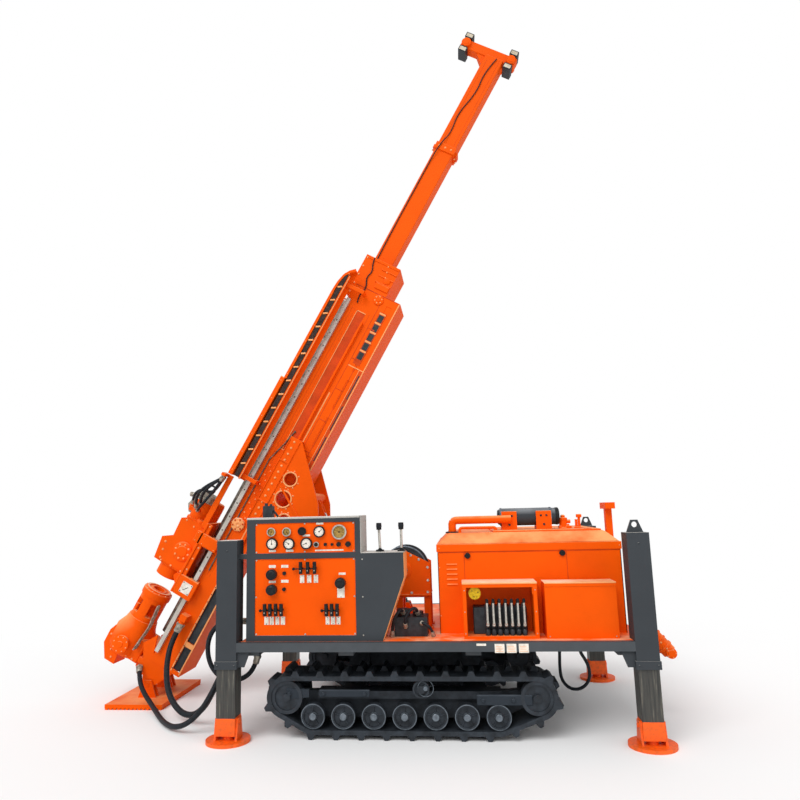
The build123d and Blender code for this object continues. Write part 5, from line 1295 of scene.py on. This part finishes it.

# Mast: strips on both side plates. Rows are along from and to, out from and to, and rise above the plate
# Pale strips are painted highlight on lit edges and ribs; darker orange bands are seams and painted shade in
# the channel and grooves; dark plates in the slots are painted shade
mastTrim = {
    "plate": 219, "slotShadeDepth": 196,
    "foldSeams": [(1300, 4360, 118, 121, 2.5), (1300, 4360, 88, 90, 2), (2560, 4360, 150, 152, 2),
                  (2700, 4360, -78, -75, 2), (1300, 4360, 166, 169, 3)],
    "slotEdges": [(350, 1900, -24, -12, 4), (350, 1260, -119, -106, 4), (612, 658, -104, -26, 3),
                  (1232, 1250, -104, -26, 3), (2711, 3466, -102, -90, 3), (2740, 4350, 55, 58, 2)],
    "slotShadePlates": [(372, 608, -104, -26, 3), (662, 1228, -104, -26, 3)],
    "panelEdges": [(2740, 4350, 55, 61, 7), (2734, 2742, -40, 61, 7), (4344, 4352, -40, 61, 7),
                   (2360, 4590, -306, -298, 2)],
    "panelSeamsAndShade": [(2742, 4344, -37, 55, 1.4), (2352, 4590, -128, -122, 2.5), (2380, 3840, -212, -206, 2),
                   (3840, 4440, -236, -160, 1.4), (4590, 4600, -300, 200, 2)],
    "ribs": 5, "ribPitch": 108,
}


def stripsOn(side, rows, base=mastTrim["plate"]):
    return [sideBlock(side, s0, s1, n0, n1, base, base + rise) for s0, s1, n0, n1, rise in rows]


seamsAndShade, darks, pales = [], [], []
for side in (-1, 1):
    seamsAndShade += stripsOn(side, mastTrim["foldSeams"])
    pales += stripsOn(side, mastTrim["slotEdges"])
    darks += stripsOn(side, mastTrim["slotShadePlates"], mastTrim["slotShadeDepth"])
    for i in range(mastTrim["ribs"]):
        s = 3900 + mastTrim["ribPitch"] * i
        darks += stripsOn(side, [(s, s + 78, -226, -170, 2)], mastTrim["plate"] + 0.5)
        pales += stripsOn(side, [(s + 84, s + 102, -232, -164, 2.6)], mastTrim["plate"] + 0.5)
for side in (-1, 1):
    pales += stripsOn(side, mastTrim["panelEdges"])
    seamsAndShade += stripsOn(side, mastTrim["panelSeamsAndShade"])
for side in (-1, 1):
    w0, w1 = sorted((side * mastTrim["plate"], side * (mastTrim["plate"] + 3)))
    seamsAndShade.append(("block", (2400, -298, w0), (3800, -262, w1), 0))
    darks += [("block", (2430 + 350 * i, -292, w0), (2700 + 350 * i, -280, w1 + max(side, 0)), 0)
              for i in range(4)]
    pales += [("block", (2400, -262, w0), (3800, -257, w1 + 1), 0),
              ("block", (2352, -309, w0), (4598, -302, w1), 0),
              ("block", (3800, -300, w0), (3810, -128, w1), 0)]
    for i in range(6):
        seamsAndShade.append(("block", (2480 + 350 * i, -202, w0), (2488 + 350 * i, -132, w1), 0))
makePiece("mastSeams", "mast", "seamAndShadePaint", seamsAndShade)
makePiece("mastWornEdges", "mast", "paleHighlightPaint", pales)
makePiece("mastPockets", "mast", "oilyIron", darks)
bolts = []
for side in (-1, 1):
    bolts += rowOf((1010, 190, side * 260), (4160, 190, side * 260), 22, (0, 0, side), 0.75)
    bolts += rowOf((380, -18, side * 223), (1240, -18, side * 223), 12, (0, 0, side), 0.55)
    bolts += rowOf((2620, -28, side * 220), (2700, 30, side * 220), 3, (0, 0, side), 0.9)
repeatPiece("railBolts", "mast", "scuffedSteel", capScrew, bolts)
bolts = []
for side in (-1, 1):
    for i in range(6):
        bolts += [((1966 + 105 * i, 48, side * 240), (0, 0, side), 0.6),
                  ((2014 + 105 * i, 84, side * 240), (0, 0, side), 0.6)]
    bolts += circleOf((4540, -88, side * 233), (0, 0, side), 36, 6, 0.7)
    bolts += rowOf((4400, 232, side * 221), (4900, 232, side * 221), 6, (0, 0, side), 0.8)
    bolts += rowOf((4780, -40, side * 221), (4900, -12, side * 221), 3, (0, 0, side), 0.7)
repeatPiece("mastBolts", "mast", "paleHighlightPaint", hexBolt, bolts, spin=1.0)
makePiece("sideCap", "mast", "paleHighlightPaint", [
    ("round", (1877, 84, 220), "z",
     [(70, 0), (70, 18), (64, 24), (30, 24), (28, 30), (16, 31), (12, 24), (0, 24)], 8)])
repeatPiece("sideCapBolts", "mast", "seamAndShadePaint", hexBolt,
            circleOf((1877, 84, 243), (0, 0, 1), 50, 6, 0.7))
makePiece("gripPipe", "mast", "scuffedSteel", [
    ("rod", (1350, 122, 229), (2590, 122, 229), 7), ("rod", (2590, 122, 229), (2780, 64, 229), 7),
    ("rod", (2780, 64, 229), (2950, 24, 229), 7),
    ("round", (2950, 24, 220), "z", [(12, 0), (12, 14), (6, 18)], 6)])
print("mast built")

# Crown: sheave covers, side bands and end plates
sheaves = []
for side in (-1, 1):
    sheaves += [("round", (4540, -88, side * 220), (0, 0, side),
                 [(52, 0), (52, 12), (44, 16), (20, 16), (18, 22), (0, 22)], 28),
                ("round", (4755, -72, side * 220), (0, 0, side), [(34, 0), (34, 9), (28, 12), (0, 12)], 22),
                sideBlock(side, 4640, 4700, -132, 20, 220, 232, 4),
                sideBlock(side, 4900, 4929, -138, 250, 220, 226, 2)]
    sheaves += [sideBlock(side, 4700 + 70 * i, 4712 + 70 * i, -137, 40, 220, 228, 2) for i in range(3)]
makePiece("crownTrim", "mast", "orangePaint", sheaves)

# Cradle: rims round its holes, stiffening ribs, pin caps and bolts on both arms
cradleTrim = {"face": 320, "holes": [(2140, -330, 60), (2320, -220, 75), (2520, -190, 62)],
              "pin": (2124.7, -607.6)}
rims, ribs, bolts = [], [], []
for side in (-1, 1):
    face = side * cradleTrim["face"]
    for s, n, radius in cradleTrim["holes"]:
        rims.append(("round", (s, n, face), (0, 0, side), [
            (radius, -2), (radius, 7), (radius + 3, 9), (radius + 12, 9), (radius + 14, 6), (radius + 14, -2),
            (radius, -2)], 30))
        bolts += circleOf((s, n, face), (0, 0, side), radius + 26, 8, 0.6)
    s, n = cradleTrim["pin"]
    ribs += [("round", (s, n, face), (0, 0, side),
              [(62, -2), (62, 12), (54, 16), (50, 16), (50, 22), (0, 22)], 28)]
    w0, w1 = sorted((face, face + side * 10))
    ribs += [("prism", [(2180, -500), (2196, -510), (2440, -120), (2424, -112)], "z", w0, w1),
             ("block", (1985, -104, w0), (2880, -92, w1), 1), ("block", (1985, 2, w0), (2880, 9, w1), 1),
             ("block", (2640, -92, w0), (2652, 2, w1), 1), ("block", (2200, -92, w0), (2212, 2, w1), 1)]
    bolts += rowOf((2000, -46, face), (2860, -46, face), 14, (0, 0, side), 0.9)
    bolts += circleOf((*cradleTrim["pin"], face + side * 16), (0, 0, side), 34, 4, 0.6)
makePiece("cradleRims", "cradle", "paleHighlightPaint", rims)
makePiece("cradleRibs", "cradle", "orangePaint", ribs)
repeatPiece("cradleBolts", "cradle", "paleHighlightPaint", hexBolt, bolts, spin=1.0)

# Rod tongs: collars, a pair of jaw cheeks and their pins
tongs = {"start": (3422, -420, 742), "end": (3595, -420, 550), "radius": 58}
along = Vector(tongs["end"]) - Vector(tongs["start"])
radius = tongs["radius"]
jawX, jawY, jawZ = tongs["end"]
jaws = []
for share, wide in ((0.06, 20), (0.30, 14), (0.52, 14), (0.74, 24)):
    at = Vector(tongs["start"]) + along * share
    jaws.append(("round", at, along, [
        (radius, 0), (radius + 8, 3), (radius + 8, wide - 3), (radius, wide)], 24))
for side in (-1, 1):
    jaws += [("round", (jawX, jawY + side * radius, jawZ), (0, side, 0),
              [(40, 0), (43, 3), (43, 12), (30, 15), (28, 22), (0, 22)], 20),
             ("rod", (3400, jawY + side * 34, 766), (3470, jawY + side * 46, 796), 13)]
makePiece("tongCollars", "chassis", "orangePaint", jaws)
repeatPiece("tongBolts", "chassis", "paleHighlightPaint", hexBolt,
            circleOf((jawX, jawY - 70, jawZ), (0, -1, 0), 34, 5, 0.5)
            + [(tuple(Vector(tongs["start"]) + along * share + Vector((0, -64, 0))), (0, -1, 0), 0.6)
               for share in (0.1, 0.33, 0.55, 0.8)])

# Small switch box on the cabinet's top
makePiece("topSwitch", "chassis", "oilyIron", [
    ("block", (236, -900, 1738), (318, -820, 1838), 4),
    ("round", (256, -860, 1836), "z", [(14, 0), (14, 22), (8, 26), (0, 26)], 12),
    ("round", (298, -860, 1836), "z", [(12, 0), (12, 16), (0, 18)], 12),
    ("rod", (318, -860, 1800), (360, -860, 1746), 9)])


# Floor and light: the floor fades to white away from the machine, two broad suns and a soft world light it
def makeStage():
    size = 60.0  # half the floor's side, in metres
    bm = bmesh.new()
    for x, y in ((-size, -size), (size, -size), (size, size), (-size, size)):
        bm.verts.new((x, y, 0))
    bm.faces.new(bm.verts)
    floor = meshObject("studioFloor", bm)
    material, tree = newMaterial("paleFloor")
    coords = addNode(tree, "ShaderNodeTexCoord").outputs["Object"]
    distance = addNode(tree, "ShaderNodeVectorMath", {"operation": "LENGTH"}, {0: coords}).outputs["Value"]
    fade = addNode(tree, "ShaderNodeMapRange", {"From Min": 3.2, "From Max": 7.0}, {"Value": distance})
    path = addNode(tree, "ShaderNodeLightPath").outputs
    seen = addNode(tree, "ShaderNodeMath", {"operation": "MAXIMUM"},
                   {0: path["Is Camera Ray"], 1: path["Is Glossy Ray"]}).outputs[0]
    seen = addNode(tree, "ShaderNodeMath", {"operation": "MAXIMUM"},
                   {0: seen, 1: path["Is Transmission Ray"]}).outputs[0]
    factor = addNode(tree, "ShaderNodeMath", {"operation": "MULTIPLY"},
                     {0: fade.outputs["Result"], 1: seen}).outputs[0]
    diffuse = addNode(tree, "ShaderNodeBsdfDiffuse", {"Color": (0.93, 0.93, 0.93, 1)}).outputs[0]
    glow = addNode(tree, "ShaderNodeEmission", {"Color": (1, 1, 1, 1), "Strength": 1.0}).outputs[0]
    mix = addNode(tree, "ShaderNodeMixShader", links={0: factor, 1: diffuse, 2: glow}).outputs[0]
    addNode(tree, "ShaderNodeOutputMaterial", links={"Surface": mix})
    floor.data.materials.append(material)
    world = bpy.data.worlds.new("studioWorld")
    bpy.context.scene.world = world
    world.use_nodes = True
    tree = world.node_tree
    tree.nodes.clear()
    path = addNode(tree, "ShaderNodeLightPath").outputs
    seen = addNode(tree, "ShaderNodeMath", {"operation": "MAXIMUM"},
                   {0: path["Is Camera Ray"], 1: path["Is Transmission Ray"]}).outputs[0]
    soft = addNode(tree, "ShaderNodeBackground", {"Color": (1, 1, 1, 1), "Strength": 0.62}).outputs[0]
    white = addNode(tree, "ShaderNodeBackground", {"Color": (1, 1, 1, 1), "Strength": 1.0}).outputs[0]
    mix = addNode(tree, "ShaderNodeMixShader", links={0: seen, 1: soft, 2: white}).outputs[0]
    addNode(tree, "ShaderNodeOutputWorld", links={"Surface": mix})
    for name, aim, strength, spread in (("keyLight", (0.35, 0.75, -0.85), 1.7, 40),
                                        ("fillLight", (-0.6, 0.5, -0.4), 0.5, 60)):
        data = bpy.data.lights.new(name, "SUN")
        data.energy = strength
        data.angle = math.radians(spread)
        lamp = bpy.data.objects.new(name, data)
        bpy.context.scene.collection.objects.link(lamp)
        lamp.rotation_euler = Vector(aim).to_track_quat("-Z", "Y").to_euler()


makeStage()
bpy.context.scene.view_settings.view_transform = "Standard"
print("stage ready")
